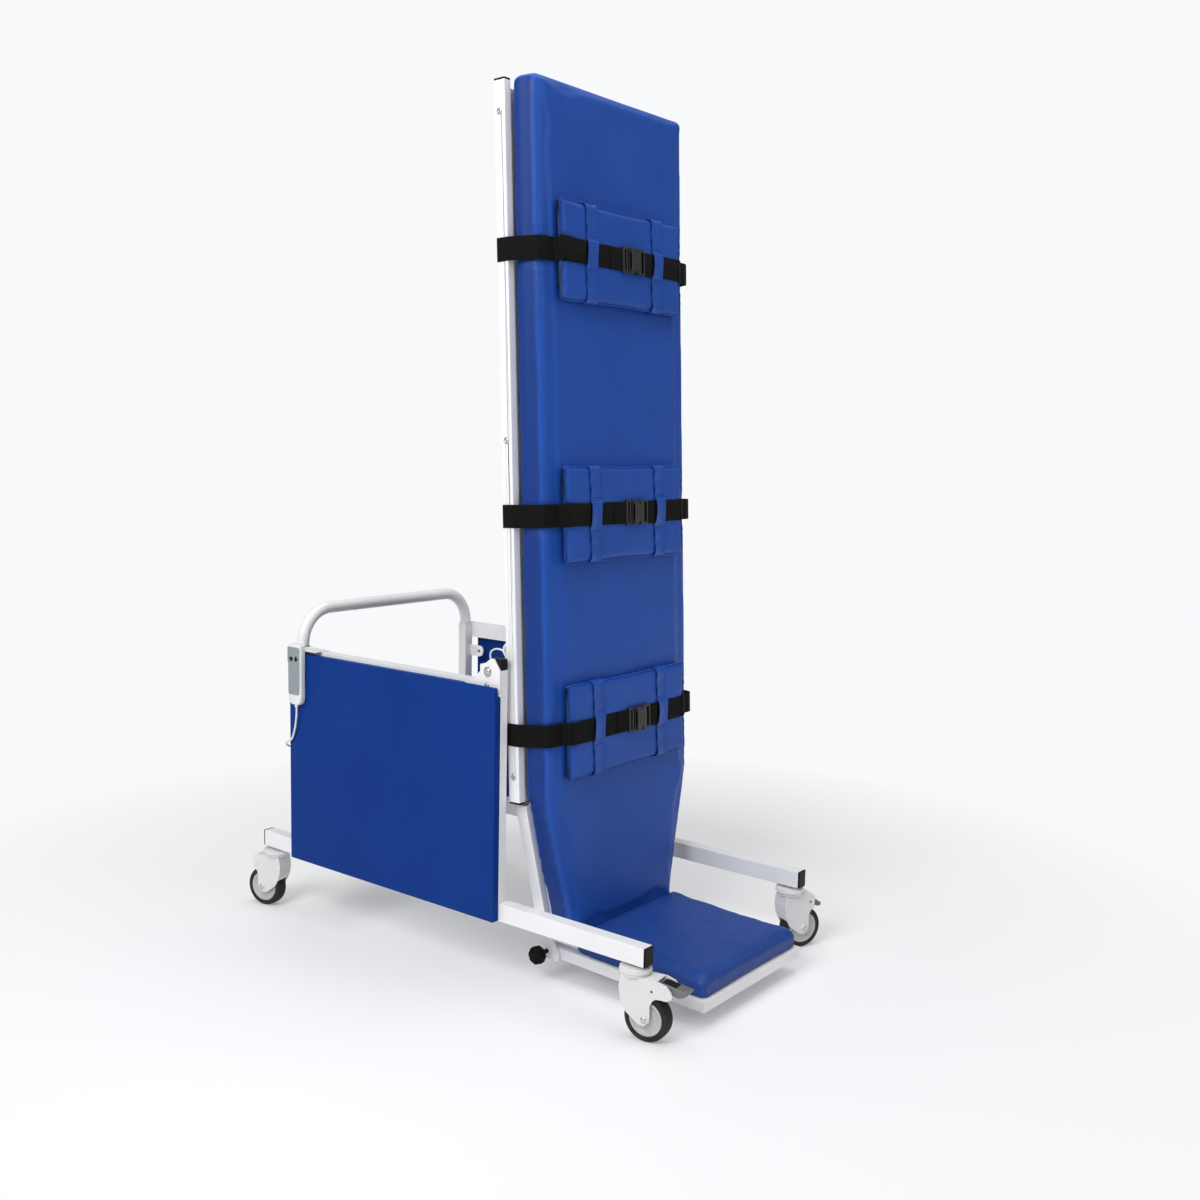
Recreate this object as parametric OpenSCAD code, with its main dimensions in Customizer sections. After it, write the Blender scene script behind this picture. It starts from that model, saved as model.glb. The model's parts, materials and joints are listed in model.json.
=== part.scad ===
// Tilt table on a wheeled base: board with straps, hinged footboard, electric tilt.
// Millimetres, +Z up, front (footboard side) along -Y, width along X, handset side -X.

/* [Base] */
// length of the bottom rails, front to rear
base_length = 1205; // [1000:5:1500]
// width over the outer faces of the bottom rails
base_width = 654; // [600:2:760]
// height of the bottom rail above the floor
rail_lift = 157; // [140:1:200]
// height of the rail section
rail_h = 40; // [30:1:60]
// width of the rail section
rail_w = 30; // [25:1:40]
// wall of the steel tubes
tube_wall = 2; // [1.5:0.1:3]
// from the underside of the bottom rail to the top of the top rail
side_h = 529; // [480:1:600]
// front post face behind the front rail end
front_inset = 394; // [340:1:440]
// rear post face ahead of the rear rail end
rear_inset = 100; // [80:1:160]
// depth of the front posts
post_d = 30; // [25:1:40]
// width of the front posts and the top rails
post_w = 22.5; // [20:0.5:30]
// width and depth of each rear post
rear_post_w = 27; // [25:1:40]
// how far the front post stands above the top rail
post_rise = 28; // [20:1:40]
// height of the black cap on the front post
post_cap_h = 24; // [10:1:30]
// thickness of the rail end caps' plates
cap_t = 4; // [2:0.5:6]

/* [Side panels] */
// thickness of the side panel
panel_t = 18; // [16:0.5:22]
// panel top below the top of the top rail
panel_drop = 8; // [4:1:20]
// panel rear edge ahead of the rear face of the rear post
panel_back_gap = 26; // [0:1:40]

/* [Push handle] */
// diameter of the handle tube
handle_d = 30; // [25:1:34]
// height of the handle's centre line above the top rail
handle_rise = 89; // [88:1:100]
// bend radius of the handle's centre line
handle_bend = 85; // [60:1:86]

/* [Board] */
// board angle from upright in the stored position
lean = 2.545; // [0:0.005:5]
// pivot behind the front face of the front post
pivot_back = 83.5; // [80:0.5:100]
// pivot above the top rail
pivot_rise = 49; // [45:1:60]
// pivot behind the back plane of the board frame
pivot_depth = 66; // [66:1:80]
// pivot above the foot end of the side rail
pivot_s = 320; // [300:1:340]
// length of the side rails
side_rail_len = 1533; // [1400:1:1700]
// width of the side rail section
side_rail_w = 20; // [15:1:25]
// depth of the side rail section
side_rail_d = 30; // [25:1:40]
// gap between side rail and board frame, for the straps
side_gap = 6; // [5:0.5:10]
// clearance between side rail and base
swing_gap = 5; // [4:0.5:8]
// width of the board's frame tubes
frame_w = 25; // [20:1:30]
// depth of the board's frame tubes
frame_d = 20; // [16:1:25]
// thickness of the backboard
backboard_t = 12; // [9:1:15]
// how far the mattress reaches above the side rails
mattress_over = 12; // [5:1:30]
// foot end of the mattress above the footboard's hinge
mattress_short = 35; // [30:1:60]
// thickness of the mattress
mattress_t = 65; // [50:1:80]
// half width of the mattress at its narrow foot end
mattress_foot_half = 191; // [170:1:200]
// where the taper starts, below the foot end of the side rails
taper_start = 10; // [0:1:30]
// gap between mattress edge and side rail
mattress_gap = 2; // [1:0.5:4]

/* [Footboard] */
// footboard hinge below the foot end of the side rails
foot_drop = 357; // [350:1:370]
// footboard hinge ahead of the back plane of the board
foot_ahead = 27; // [20:1:35]
// footboard angle from square to the board
foot_angle = 4.545; // [0:0.005:8]
// length of the footboard frame ahead of its hinge
foot_reach = 420; // [360:1:460]
// width of the footboard frame
foot_width = 396; // [360:1:400]
// section of the footboard frame tube
foot_tube = 25; // [20:1:30]
// thickness of the footboard cushion
foot_cushion_t = 45; // [30:1:50]
// cushion's rear edge ahead of the hinge
foot_cushion_back = 76; // [76:1:90]
// diameter of the clamping knobs
knob_d = 40; // [32:1:50]

/* [Straps] */
// width of the webbing
strap_w = 50; // [38:1:60]
// thickness of the webbing
strap_t = 1.6; // [1.2:0.1:2.5]
// height of the top strap above the foot end of the side rails
strap_top_s = 1186; // [1100:1:1250]
// height of the middle strap
strap_mid_s = 625; // [560:1:700]
// height of the low strap
strap_low_s = 150; // [125:1:200]
// width of the strap pads
pad_w = 442; // [380:1:460]
// height of the strap pads
pad_h = 212; // [180:1:230]
// thickness of the strap pads
pad_t = 21; // [15:1:30]
// length of the buckle
buckle_l = 80; // [70:1:95]
// buckle centre to the side of the board's middle
buckle_x = 25; // [0:1:40]
// thickness of the buckle
buckle_t = 12; // [9:1:15]

/* [Casters] */
// wheel diameter
wheel_d = 100; // [75:1:125]
// wheel width
wheel_w = 32; // [25:1:40]
// caster stem from the end of the rail
stem_inset = 30; // [25:1:45]
// stem diameter
stem_d = 12; // [10:1:14]
// trail of the wheel behind the stem
trail = 32; // [25:1:40]
// diameter of the caster's collar
collar_d = 66; // [55:1:75]
// gap between collar and rail, where the stem shows
stem_gap = 6; // [4:1:12]
// swivel of the front caster on the handset side
near_front_swivel = 8.7; // [0:0.1:20]
// swivel of the front caster on the far side, with its wheel turned outwards
far_front_swivel = 64; // [40:1:80]
// swivel of the rear caster on the handset side
near_rear_swivel = 12; // [0:1:20]

/* [Tilt drive] */
// pin of the rod to the board's pivot
lever_r = 65; // [60:1:80]
// rod diameter
rod_d = 22; // [18:1:28]
// diameter of the actuator pins
drive_pin_d = 12; // [10:1:14]

/* [Handset] */
// width of the handset
handset_w = 48; // [40:1:60]
// height of the handset
handset_h = 150; // [120:1:180]
// thickness of the handset
handset_t = 16; // [14:1:28]
// diameter of the handset cord
cord_d = 5; // [4:0.5:7]

/* [Hidden] */
$fn = 48;
overrun = 1;
seat = 0.3;
run_fit = 0.05;
hole_fit = 0.2;
near = -1;
far = 1;
half = 0.5;
quarter_turn = 90;

half_w = base_width / 2;
half_l = base_length / 2;
rail_in = half_w - rail_w;
rail_top = rail_lift + rail_h;
side_top = rail_lift + side_h;
front_y = -half_l + front_inset;
front_back_y = front_y + post_d;
rear_y = half_l - rear_inset;
rear_front_y = rear_y - rear_post_w;
post_x = half_w - rail_w * half;
post_in = half_w - post_w;
rear_post_in = post_in - rear_post_w;
handle_x = post_in - rear_post_w * half;
mattress_up = side_rail_len + mattress_over;
mattress_down = foot_drop - mattress_short;

pivot_y = front_y + pivot_back;
pivot_z = side_top + pivot_rise;
side_out = rail_in - swing_gap;
side_in = side_out - side_rail_w;
frame_out = side_in - side_gap;
mattress_half = side_in - mattress_gap;
panel_y0 = front_y;
panel_y1 = rear_y - panel_back_gap;
panel_z1 = side_top - panel_drop;

// the handset and the far front caster's brake tab give the sides of the part
holder_t = 2.5;
button_out = 1.6;
tab_reach = 86;
tab_w = 22;
near_out = half_w + panel_t + holder_t + seat + handset_t + button_out;
tab_end = post_x + tab_reach * sin(far_front_swivel) + tab_w * half * cos(far_front_swivel);
far_out = max(half_w + panel_t, post_x + collar_d * half, tab_end);
shift_x = (near_out - far_out) * half;

// the near front pedal or the footboard gives the front end, a rear tyre the rear end
hinge_local = [0, -foot_ahead, -foot_drop];
hinge_y = pivot_y + (hinge_local[1] - pivot_depth) * cos(lean) + (hinge_local[2] - pivot_s) * sin(lean);
front_end_y = hinge_y - foot_reach * cos(foot_angle - lean) - foot_tube * half * sin(foot_angle - lean);
pedal_reach = 125;
pedal_w = 30;
rib_w = 11;
swivels = [near_front_swivel, far_front_swivel, near_rear_swivel, 0];
function caster_end(i, reach, w) = half_l - stem_inset + reach * cos(swivels[i]) + w * sin(swivels[i]);
front_end = min(front_end_y, -caster_end(0, pedal_reach, pedal_w * half));
rear_end = max([for (i = [2, 3]) caster_end(i, trail + wheel_d * half, rib_w)]);
shift_y = -(front_end + rear_end) * half;

module place() translate([shift_x, shift_y, 0]) children();
module on_board() place() translate([0, pivot_y, pivot_z]) rotate([-lean, 0, 0])
    translate([0, -pivot_depth, -pivot_s]) children();
module on_foot() on_board() translate(hinge_local) rotate([foot_angle, 0, 0]) children();
module both_sides() for (s = [near, far]) scale([s, 1, 1]) children();

// box from its low corner to its high corner
module block(a, b) translate(a) cube(b - a);
// box from corner to corner with a hollow along one axis, 0 for X, 1 for Y, 2 for Z
module tube_block(a, b, axis, wall) {
    grow = [for (i = [0:2]) i == axis ? -overrun : wall];
    difference() {
        block(a, b);
        block(a + grow, b - grow);
    }
}
module rod_x(x0, x1, r) translate([x0, 0, 0]) rotate([0, quarter_turn, 0]) cylinder(h = x1 - x0, r = r);
// outline in the Y-Z plane drawn out along X from x0 to x1
module plate_x(pts, x0, x1) translate([x0, 0, 0]) rotate([quarter_turn, 0, quarter_turn])
    linear_extrude(height = x1 - x0) polygon(pts);

function unit2(a) = a / norm(a);
function turned(a) = [-a[1], a[0]];
// outline p moved inwards by d
function inset_pts(p, d) = let (n = len(p)) [for (i = [0:n - 1])
    let (a = p[(i + n - 1) % n], b = p[i], c = p[(i + 1) % n])
    let (u = turned(unit2(b - a)), v = turned(unit2(c - b)))
    b + (u + v) * d / (1 + u * v)];
// outline p with each corner rounded by n steps of radius r
function round_pts(p, r, n) = let (m = len(p)) [for (i = [0:m - 1])
    let (a = p[(i + m - 1) % m], b = p[i], c = p[(i + 1) % m])
    let (u = unit2(a - b), v = unit2(c - b), h = acos(u * v) / 2, k = r / tan(h))
    let (o = b + unit2(u + v) * r / sin(h), s = b + u * k - o, e = b + v * k - o)
    for (j = [0:n]) let (w = s * (1 - j / n) + e * j / n) o + unit2(w) * r];
// open line p moved sideways by d
function side_pts(p, d) = let (n = len(p)) [for (i = [0:n - 1])
    let (u = i == 0 ? unit2(p[1] - p[0]) : unit2(p[i] - p[i - 1]))
    let (v = i == n - 1 ? u : unit2(p[i + 1] - p[i]), a = turned(u), b = turned(v))
    p[i] + (a + b) * d / (1 + a * b)];
function backwards(p) = [for (i = [len(p) - 1:-1:0]) p[i]];
// closed outline of a band of thickness t that follows the points p
function band_pts(p, t) = concat(side_pts(p, t / 2), backwards(side_pts(p, -t / 2)));

// closed skin through rings of equal count, lowest ring first
module loft(rings) {
    n = len(rings[0]);
    m = len(rings);
    top = (m - 1) * n;
    polyhedron(points = [for (r = rings) for (q = r) q], faces = concat(
        [for (j = [1:n - 2]) [0, j, j + 1]],
        [for (k = [0:m - 2]) for (j = [0:n - 1])
            [k * n + j, (k + 1) * n + j, (k + 1) * n + (j + 1) % n]],
        [for (k = [0:m - 2]) for (j = [0:n - 1])
            [k * n + j, (k + 1) * n + (j + 1) % n, k * n + (j + 1) % n]],
        [for (j = [1:n - 2]) [top, top + j + 1, top + j]]));
}

// upholstered form: outline p, thickness t, edge radius r, crown c over the middle, drawn out along +Z
layer_shares = [[0, 0.30], [0.05, 0.10], [0.22, 0], [0.60, 0.03], [0.82, 0.16], [0.94, 0.45], [1, 1]];
function ring(p, d, r, n, z) = [for (q = round_pts(inset_pts(p, d), r, n)) [q[0], q[1], z]];
module padded(p, t, r, c, inner, n) loft(concat(
    [for (s = layer_shares) ring(p, s[1] * r, r * (1.25 - s[1]), n, s[0] * (t - c))],
    [ring(p, (r + inner) * half, (r + inner) * half, n, t - c * 0.35), ring(p, inner, inner, n, t)]));

// Base

cap_plug = 14;
stem_hole_r = stem_d * half + hole_fit;
function stem_y(s) = s * (half_l - stem_inset);

module base_rails() color("white") place() for (s = [near, far]) difference() {
    translate([s * post_x, 0, 0])
        tube_block([-rail_w * half, -half_l, rail_lift], [rail_w * half, half_l, rail_top], 1, tube_wall);
    for (e = [-1, 1]) translate([s * post_x, stem_y(e), rail_lift - overrun])
        cylinder(h = tube_wall + 2 * overrun, r = stem_hole_r);
}

module tube_cap(w, h, wall) {
    block([-w * half, -cap_t, -h * half], [w * half, 0, h * half]);
    plug = wall + hole_fit;
    block([-w * half + plug, 0, -h * half + plug], [w * half - plug, cap_plug, h * half - plug]);
}
// black caps on the ends of the bottom rails and on the rear ends of the top rails
module rail_end_caps() color("black") place() for (s = [near, far]) {
    for (e = [-1, 1]) translate([s * post_x, e * half_l, rail_lift + rail_h * half]) scale([1, -e, 1])
        tube_cap(rail_w, rail_h, tube_wall);
    translate([s * (half_w - post_w * half), rear_y, side_top - rail_h * half]) scale([1, -1, 1])
        tube_cap(post_w, rail_h, tube_wall);
}

module front_posts() color("white") place() both_sides()
    tube_block([post_in, front_y, rail_top], [half_w, front_back_y, side_top + post_rise], 2, tube_wall);

lug_t = 6;
lug_h = 30;
lug_reach = 47;
lug_hole_r = 4.5;
lug_drop = 78;
lug_z = side_top - lug_drop;
lug_hole_y = rear_front_y - lug_reach + lug_h * half;
lug_x1 = post_in;
lug_x0 = lug_x1 - lug_t;
// the rear posts stand inside the top rails and carry the accessory lugs
module rear_posts() color("white") place() both_sides() {
    tube_block([rear_post_in, rear_front_y, rail_top], [post_in, rear_y, side_top], 2, tube_wall);
    difference() {
        union() {
            translate([0, lug_hole_y, lug_z]) rod_x(lug_x0, lug_x1, lug_h * half);
            block([lug_x0, lug_hole_y, lug_z - lug_h * half],
                [lug_x1, rear_front_y, lug_z + lug_h * half]);
        }
        translate([0, lug_hole_y, lug_z]) rod_x(lug_x0 - overrun, lug_x1 + overrun, lug_hole_r);
    }
}

module top_rails() color("white") place() both_sides() difference() {
    tube_block([post_in, front_back_y, side_top - rail_h], [half_w, rear_y, side_top], 1, tube_wall);
    translate([0, small_bolt_y, small_bolt_z])
        rod_x(half_w - tube_wall - overrun, half_w + overrun, bolt_small_r + hole_fit);
}

module post_caps() color("black") place() for (s = [near, far])
    translate([s * (half_w - post_w * half), (front_y + front_back_y) * half, side_top + post_rise]) {
        plug = tube_wall + hole_fit;
        block([-post_w * half, -post_d * half, 0], [post_w * half, post_d * half, post_cap_h]);
        block([-post_w * half + plug, -post_d * half + plug, -cap_plug],
            [post_w * half - plug, post_d * half - plug, 0]);
    }

// gusset outline, in sizes from the front face of the post and from the top rail's top
gusset_t = 4;
gusset_front = 0;
gusset_shares = [[0, -0.55], [0, 0.54], [0.17, 1], [0.25, 1], [0.41, 0.77], [0.46, 0.77], [0.53, 0.46],
    [0.75, 0.04], [1, -0.50]];
gusset_len = 104;
gusset_rise = 52;
gusset_pts = [for (q = gusset_shares)
    [front_y + gusset_front + q[0] * gusset_len, side_top + q[1] * gusset_rise]];
bolt_big_r = 5;
bolt_small_r = 3;
bolt_head_t = 3.6;
big_bolt_back = 35;
big_bolt_rise = 22;
small_bolt_back = 37;
small_bolt_drop = 8;
big_bolt_y = front_y + big_bolt_back;
big_bolt_z = side_top + big_bolt_rise;
small_bolt_y = front_y + small_bolt_back;
small_bolt_z = side_top - small_bolt_drop;
module gussets() color("white") place() both_sides() difference() {
    x1 = half_w + gusset_t;
    plate_x(gusset_pts, half_w, x1);
    translate([0, big_bolt_y, big_bolt_z]) rod_x(half_w - overrun, x1 + overrun, bolt_big_r + hole_fit);
    translate([0, small_bolt_y, small_bolt_z])
        rod_x(half_w - overrun, x1 + overrun, bolt_small_r + hole_fit);
}
module hex_bolt(x0, x1, r, head_share) {
    rod_x(x0, x1, r);
    rod_x(x1, x1 + bolt_head_t * 0.3, r * head_share * 1.25);
    translate([x1, 0, 0]) rotate([0, quarter_turn, 0])
        cylinder(h = bolt_head_t, r = r * head_share, $fn = 6);
}
head_share = 1.8;
bolt_in = 20;
module gusset_bolts() color("silver") place() both_sides() {
    translate([0, big_bolt_y, big_bolt_z])
        hex_bolt(half_w - bolt_in, half_w + gusset_t, bolt_big_r, head_share);
    translate([0, small_bolt_y, small_bolt_z])
        hex_bolt(half_w - tube_wall - bolt_in * half, half_w + gusset_t, bolt_small_r, head_share);
}

// recess behind the panel's top edge for the gusset and its small bolt
pocket_y1 = front_y + gusset_front + gusset_len + hole_fit;
pocket_z0 = side_top + gusset_shares[0][1] * gusset_rise - hole_fit;
pocket_t = gusset_t + bolt_head_t * 1.3 + seat;
module panel(s) color("royalblue") place() scale([s, 1, 1]) difference() {
    block([half_w, panel_y0, rail_lift], [half_w + panel_t, panel_y1, panel_z1]);
    block([half_w - overrun, panel_y0 - overrun, pocket_z0],
        [half_w + pocket_t, pocket_y1, panel_z1 + overrun]);
}
module side_panel_near() panel(near);
module side_panel_far() panel(far);

handle_leg = handle_rise - handle_bend;
handle_y = rear_y - rear_post_w * half;
module push_handle() color("gainsboro") place() difference() {
    handle_solid(handle_d * half, 0);
    handle_solid(handle_d * half - tube_wall, overrun);
}
module handle_solid(r, extra) translate([0, handle_y, side_top]) {
    both_sides() {
        translate([handle_x, 0, -extra]) cylinder(h = handle_leg + extra, r = r);
        translate([handle_x - handle_bend, 0, handle_leg]) rotate([quarter_turn, 0, 0])
            rotate_extrude(angle = quarter_turn) translate([handle_bend, 0]) circle(r = r);
    }
    translate([0, 0, handle_rise]) rod_x(-(handle_x - handle_bend), handle_x - handle_bend, r);
}

// beam between the posts that carries the board's pivots
beam_d = 40;
beam_h = 50;
beam_back = 21;
beam_drop = 25;
beam_y0 = front_y + beam_back;
beam_z1 = pivot_z - beam_drop;
beam_stub_top = 36;
ear_inset = 41;
ear_x = frame_out - frame_w - ear_inset;
ear_t = 6;
lug_plate_t = 8;
ear_r = 18;
pin_r = 8;
ear_gap = lug_plate_t * half + seat;
module pivot_beam() color("white") place() {
    tube_block([-post_in, beam_y0, beam_z1 - beam_h], [post_in, beam_y0 + beam_d, beam_z1], 0, tube_wall);
    both_sides() {
        difference() {
            block([post_in, front_back_y + seat, side_top + seat],
                [half_w, beam_y0 + beam_d, side_top + beam_stub_top]);
            translate([0, big_bolt_y, big_bolt_z])
                rod_x(half_w - bolt_in - hole_fit, half_w + overrun, bolt_big_r + hole_fit);
        }
        for (e = [-1, 1]) difference() {
            x0 = ear_x + (e < 0 ? -ear_gap - ear_t : ear_gap);
            hull() {
                translate([0, pivot_y, pivot_z]) rod_x(x0, x0 + ear_t, ear_r);
                block([x0, beam_y0 + tube_wall, beam_z1],
                    [x0 + ear_t, beam_y0 + beam_d, beam_z1 + tube_wall]);
            }
            translate([0, pivot_y, pivot_z]) rod_x(x0 - overrun, x0 + ear_t + overrun, pin_r);
        }
    }
}
module pivot_pins() color("silver") place() for (s = [near, far])
    translate([s * ear_x, pivot_y, pivot_z]) {
    reach = ear_gap + ear_t;
    rod_x(-reach, reach, pin_r);
    for (e = [-1, 1]) scale([e, 1, 1]) rod_x(reach, reach + lug_t * half, pin_r * head_share * 0.8);
}

cross_d = 40;
mid_cross_ahead = 145;
mid_cross_y = rear_front_y - mid_cross_ahead;
bracket_z = 45;
base_pin_y = mid_cross_y + cross_d * half;
base_pin_z = rail_top + bracket_z;
eye_w = 16;
eye_r = 15;
bracket_t = 6;
drive_pin_r = drive_pin_d * half;
module cross_members() color("white") place() {
    tube_block([-rail_in, mid_cross_y, rail_lift], [rail_in, mid_cross_y + cross_d, rail_top], 0, tube_wall);
    tube_block([-rail_in, rear_front_y, rail_lift], [rail_in, rear_y, rail_top], 0, tube_wall);
    both_sides() difference() {
        x0 = eye_w * half + seat;
        hull() {
            translate([0, base_pin_y, base_pin_z]) rod_x(x0, x0 + bracket_t, eye_r);
            block([x0, mid_cross_y, rail_top], [x0 + bracket_t, mid_cross_y + cross_d, rail_top + tube_wall]);
        }
        translate([0, base_pin_y, base_pin_z]) rod_x(0, eye_w + bracket_t, drive_pin_r + run_fit);
    }
}

box_l = 170;
box_h = 60;
box_beside = 83;
box_x1 = -rail_in + box_beside + box_l;
box_y0= mid_cross_y + cross_d * half;
box_back = 15;
box_y1 = rear_y - box_back;
box_z0 = rail_top + seat;
inlet_w = 30;
inlet_h = 24;
inlet_t = 16;
inlet_x = box_x1 - box_l * half;
inlet_z = box_z0 + box_h * half;
inlet_wall = 3;
module control_box() color("dimgray") place() difference() {
    block([box_x1 - box_l, box_y0, box_z0], [box_x1, box_y1, box_z0 + box_h]);
    w = inlet_w * half + hole_fit;
    h = inlet_h * half + hole_fit;
    block([inlet_x - w, box_y1 - inlet_t - hole_fit, inlet_z - h],
        [inlet_x + w, box_y1 + overrun, inlet_z + h]);
    translate([box_x1 - box_l, cord_end[1], cord_end[2]])
        rod_x(-overrun, cord_plug + hole_fit, cord_d * half + hole_fit);
}
flange_t = 2;
flange_w = 4;
inlet_pin = 9;
inlet_pin_pitch = 7;
inlet_pin_r = 1.2;
module mains_inlet() color("black") place() translate([inlet_x, box_y1, inlet_z]) {
    difference() {
        union() {
            block([-inlet_w * half, -inlet_t, -inlet_h * half], [inlet_w * half, 0, inlet_h * half]);
            block([-inlet_w * half - flange_w, 0, -inlet_h * half - flange_w],
                [inlet_w * half + flange_w, flange_t, inlet_h * half + flange_w]);
        }
        block([-inlet_w * half + inlet_wall, -inlet_t + inlet_wall, -inlet_h * half + inlet_wall],
            [inlet_w * half - inlet_wall, flange_t + overrun, inlet_h * half - inlet_wall]);
    }
    for (q = [[-1, -1], [1, -1], [0, 1]])
        translate([q[0] * inlet_pin_pitch, -inlet_t + inlet_wall, q[1] * inlet_pin_pitch * half])
        rotate([-quarter_turn, 0, 0]) cylinder(h = inlet_pin, r = inlet_pin_r);
}

// Handset and its cord

handset_ahead = 40;
handset_rise = 17;
handset_y = panel_y1 - handset_ahead;
handset_top = side_top + handset_rise;
handset_x = -(half_w + panel_t + holder_t + seat);
holder_w = 26;
hook_len = 62;
module handset_holder() color("white") place() {
    x0 = -(half_w + panel_t + holder_t);
    z0 = side_top + seat;
    block([x0, handset_y - holder_w * half, handset_top - handset_h * half],
        [x0 + holder_t, handset_y + holder_w * half, z0]);
    block([x0, handset_y - hook_len, z0], [-post_in, handset_y + holder_w * half, z0 + holder_t]);
}
// outline of the handset across its face: Y then Z, from the middle of its top, as shares
handset_shares = [[0.5, 0], [0.5, -0.30], [0.485, -0.55], [0.5, -0.86], [0.44, -0.96], [0.22, -1],
    [-0.22, -1], [-0.44, -0.96], [-0.5, -0.86], [-0.485, -0.55], [-0.5, -0.30], [-0.5, 0]];
handset_pts = [for (q = backwards(handset_shares)) [q[0] * handset_w, q[1] * handset_h]];
handset_edge = 5;
face_pts = [[-0.42, -0.83], [0.42, -0.83], [0.44, -0.05], [-0.44, -0.05]];
face_t = 1.2;
gland_h = 12;
gland_r = 4.5;
button_w = 14;
button_h = 11;
button_in = 4;
button_gap = 0.35;
button_pitch = 9;
button_drop = 36;
button_z = handset_top - button_drop;
module at_handset() place() translate([handset_x, handset_y, handset_top]) children();
module handset_outline(x0, x1, r, d) translate([x0, 0, 0]) rotate([quarter_turn, 0, quarter_turn])
    linear_extrude(height = x1 - x0) polygon(round_pts(inset_pts(handset_pts, d), r, 3));
face_at = [for (q = face_pts) [q[0] * handset_w, q[1] * handset_h]];
module handset_shell() color("white") difference() {
    at_handset() {
        handset_outline(-handset_t * 0.85, 0, handset_edge, 0);
        handset_outline(-handset_t, -handset_t * 0.85, handset_edge * 0.8, handset_edge * 0.2);
        translate([-handset_t * half, 0, -handset_h - gland_h]) difference() {
            cylinder(h = gland_h, r1 = gland_r * 0.75, r2 = gland_r);
            translate([0, 0, -overrun]) cylinder(h = gland_h + overrun, r = cord_d * half + hole_fit);
        }
    }
    at_handset() translate([-handset_t - overrun, 0, 0]) rotate([quarter_turn, 0, quarter_turn])
        linear_extrude(height = face_t + overrun) polygon(face_at);
    button_cut(-1);
    button_cut(1);
}
module button_cut(s) place() translate([handset_x, handset_y + s * button_pitch, button_z])
    block([-handset_t - overrun, -button_w * half - button_gap, -button_h * half - button_gap],
        [-handset_t + face_t + button_in, button_w * half + button_gap, button_h * half + button_gap]);
module handset_face() color("slategray") difference() {
    at_handset() translate([-handset_t, 0, 0]) rotate([quarter_turn, 0, quarter_turn])
        linear_extrude(height = face_t) polygon(inset_pts(face_at, seat * half));
    button_cut(-1);
    button_cut(1);
}
press_room = 1.6;
module button(s) color("black") place()
    translate([handset_x - handset_t, handset_y + s * button_pitch, button_z])
    block([-button_out, -button_w * half, -button_h * half],
        [face_t + button_in - press_room, button_w * half, button_h * half]);
module handset_button_up() button(1);
module handset_button_down() button(-1);

function unit3(a) = a / norm(a);
function tangent(p, i) = unit3(p[min(i + 1, len(p) - 1)] - p[max(i - 1, 0)]);
function carried(p, u, i) = i >= len(p) ? [] : let (t = tangent(p, i), v = unit3(u - t * (t * u)))
    concat([v], carried(p, v, i + 1));
module cord_tube(p, r, sides) {
    us = carried(p, [0.9, 0.3, 0.1], 0);
    loft([for (i = [0:len(p) - 1]) let (t = tangent(p, i), u = us[i], v = cross(t, u))
        [for (k = [0:sides - 1]) p[i] + r * (cos(360 * k / sides) * u + sin(360 * k / sides) * v)]]);
}
function curve(a, b, c, d, t) = (2 * b + (c - a) * t + (2 * a - 5 * b + 4 * c - d) * t * t
    + (3 * b - a - 3 * c + d) * t * t * t) / 2;
function smooth(p, n) = let (m = len(p)) concat([for (i = [0:m - 2]) for (j = [0:n - 1])
    curve(p[max(i - 1, 0)], p[i], p[i + 1], p[min(i + 2, m - 1)], j / n)], [p[m - 1]]);
cord_plug = 10;
cord_start = [handset_x - handset_t * half, handset_y, handset_top - handset_h - gland_h * half];
cord_end = [box_x1 - box_l, (box_y0 + box_y1) * half, box_z0 + box_h * half];
// the cord hangs below the handset, goes round the panel's rear edge and down to the control box
hang = [[0, 0, 0], [0, 0, -16], [1, 3, -32], [3, 11, -58], [5, 25, -84]];
// past the edge: from the outer face of the bottom rail, the panel's rear edge and the handset's end
past_edge = [[-21, 8, -97], [-11, 20, -107], [6, 19, -117], [14, 6, -128], [18, -14, -143]];
// inside the base: from the control box's entry
inside = [[-86, 30, 140], [-72, 22, 96], [-52, 14, 50], [-36, 8, 18], [-23, 3, 4], [-11, 0, 0],
    [cord_plug, 0, 0]];
cord_route = concat([for (q = hang) cord_start + q],
    [for (q = past_edge) [q[0] - half_w, q[1] + panel_y1, q[2] + cord_start[2]]],
    [for (q = inside) cord_end + q]);
cord_sides = 8;
cord_steps = 4;
module handset_cord() color("white") place()
    cord_tube(smooth(cord_route, cord_steps), cord_d * half, cord_sides);

// short cable that loops up behind the post on the handset side
loop_r = 2;
loop_in = 24;
loop_x = -post_in + loop_in;
loop_y = beam_y0 + beam_d + loop_r + seat;
// the loop's points in the Y-Z plane, from the beam's top rear edge
loop_points = [[0, -20], [1, -2], [7, 12], [11, 22], [8, 33], [-3, 39], [-14, 40.5], [-26, 38], [-34, 29],
    [-36, 16], [-35, seat]];
loop_route = [for (q = loop_points) [loop_x, loop_y + q[0], beam_z1 + q[1]]];
module loop_cable() color("white") place() cord_tube(smooth(loop_route, cord_steps), loop_r, cord_sides);

// Casters

collar_z1 = rail_lift - stem_gap;
collar_h = 15;
collar_ring_share = 0.93;
fork_w = 44;
cheek_t = 4;
rivet_t = 1.5;
axle_z = wheel_d * half;
axle_r = 5;
stem_len = 38;
fork_top = collar_z1 - collar_h;
wheel_room = 4;
pedal_pin_u = 48;
pedal_pin_z = 113;
pedal_pin_r = 3;
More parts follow.
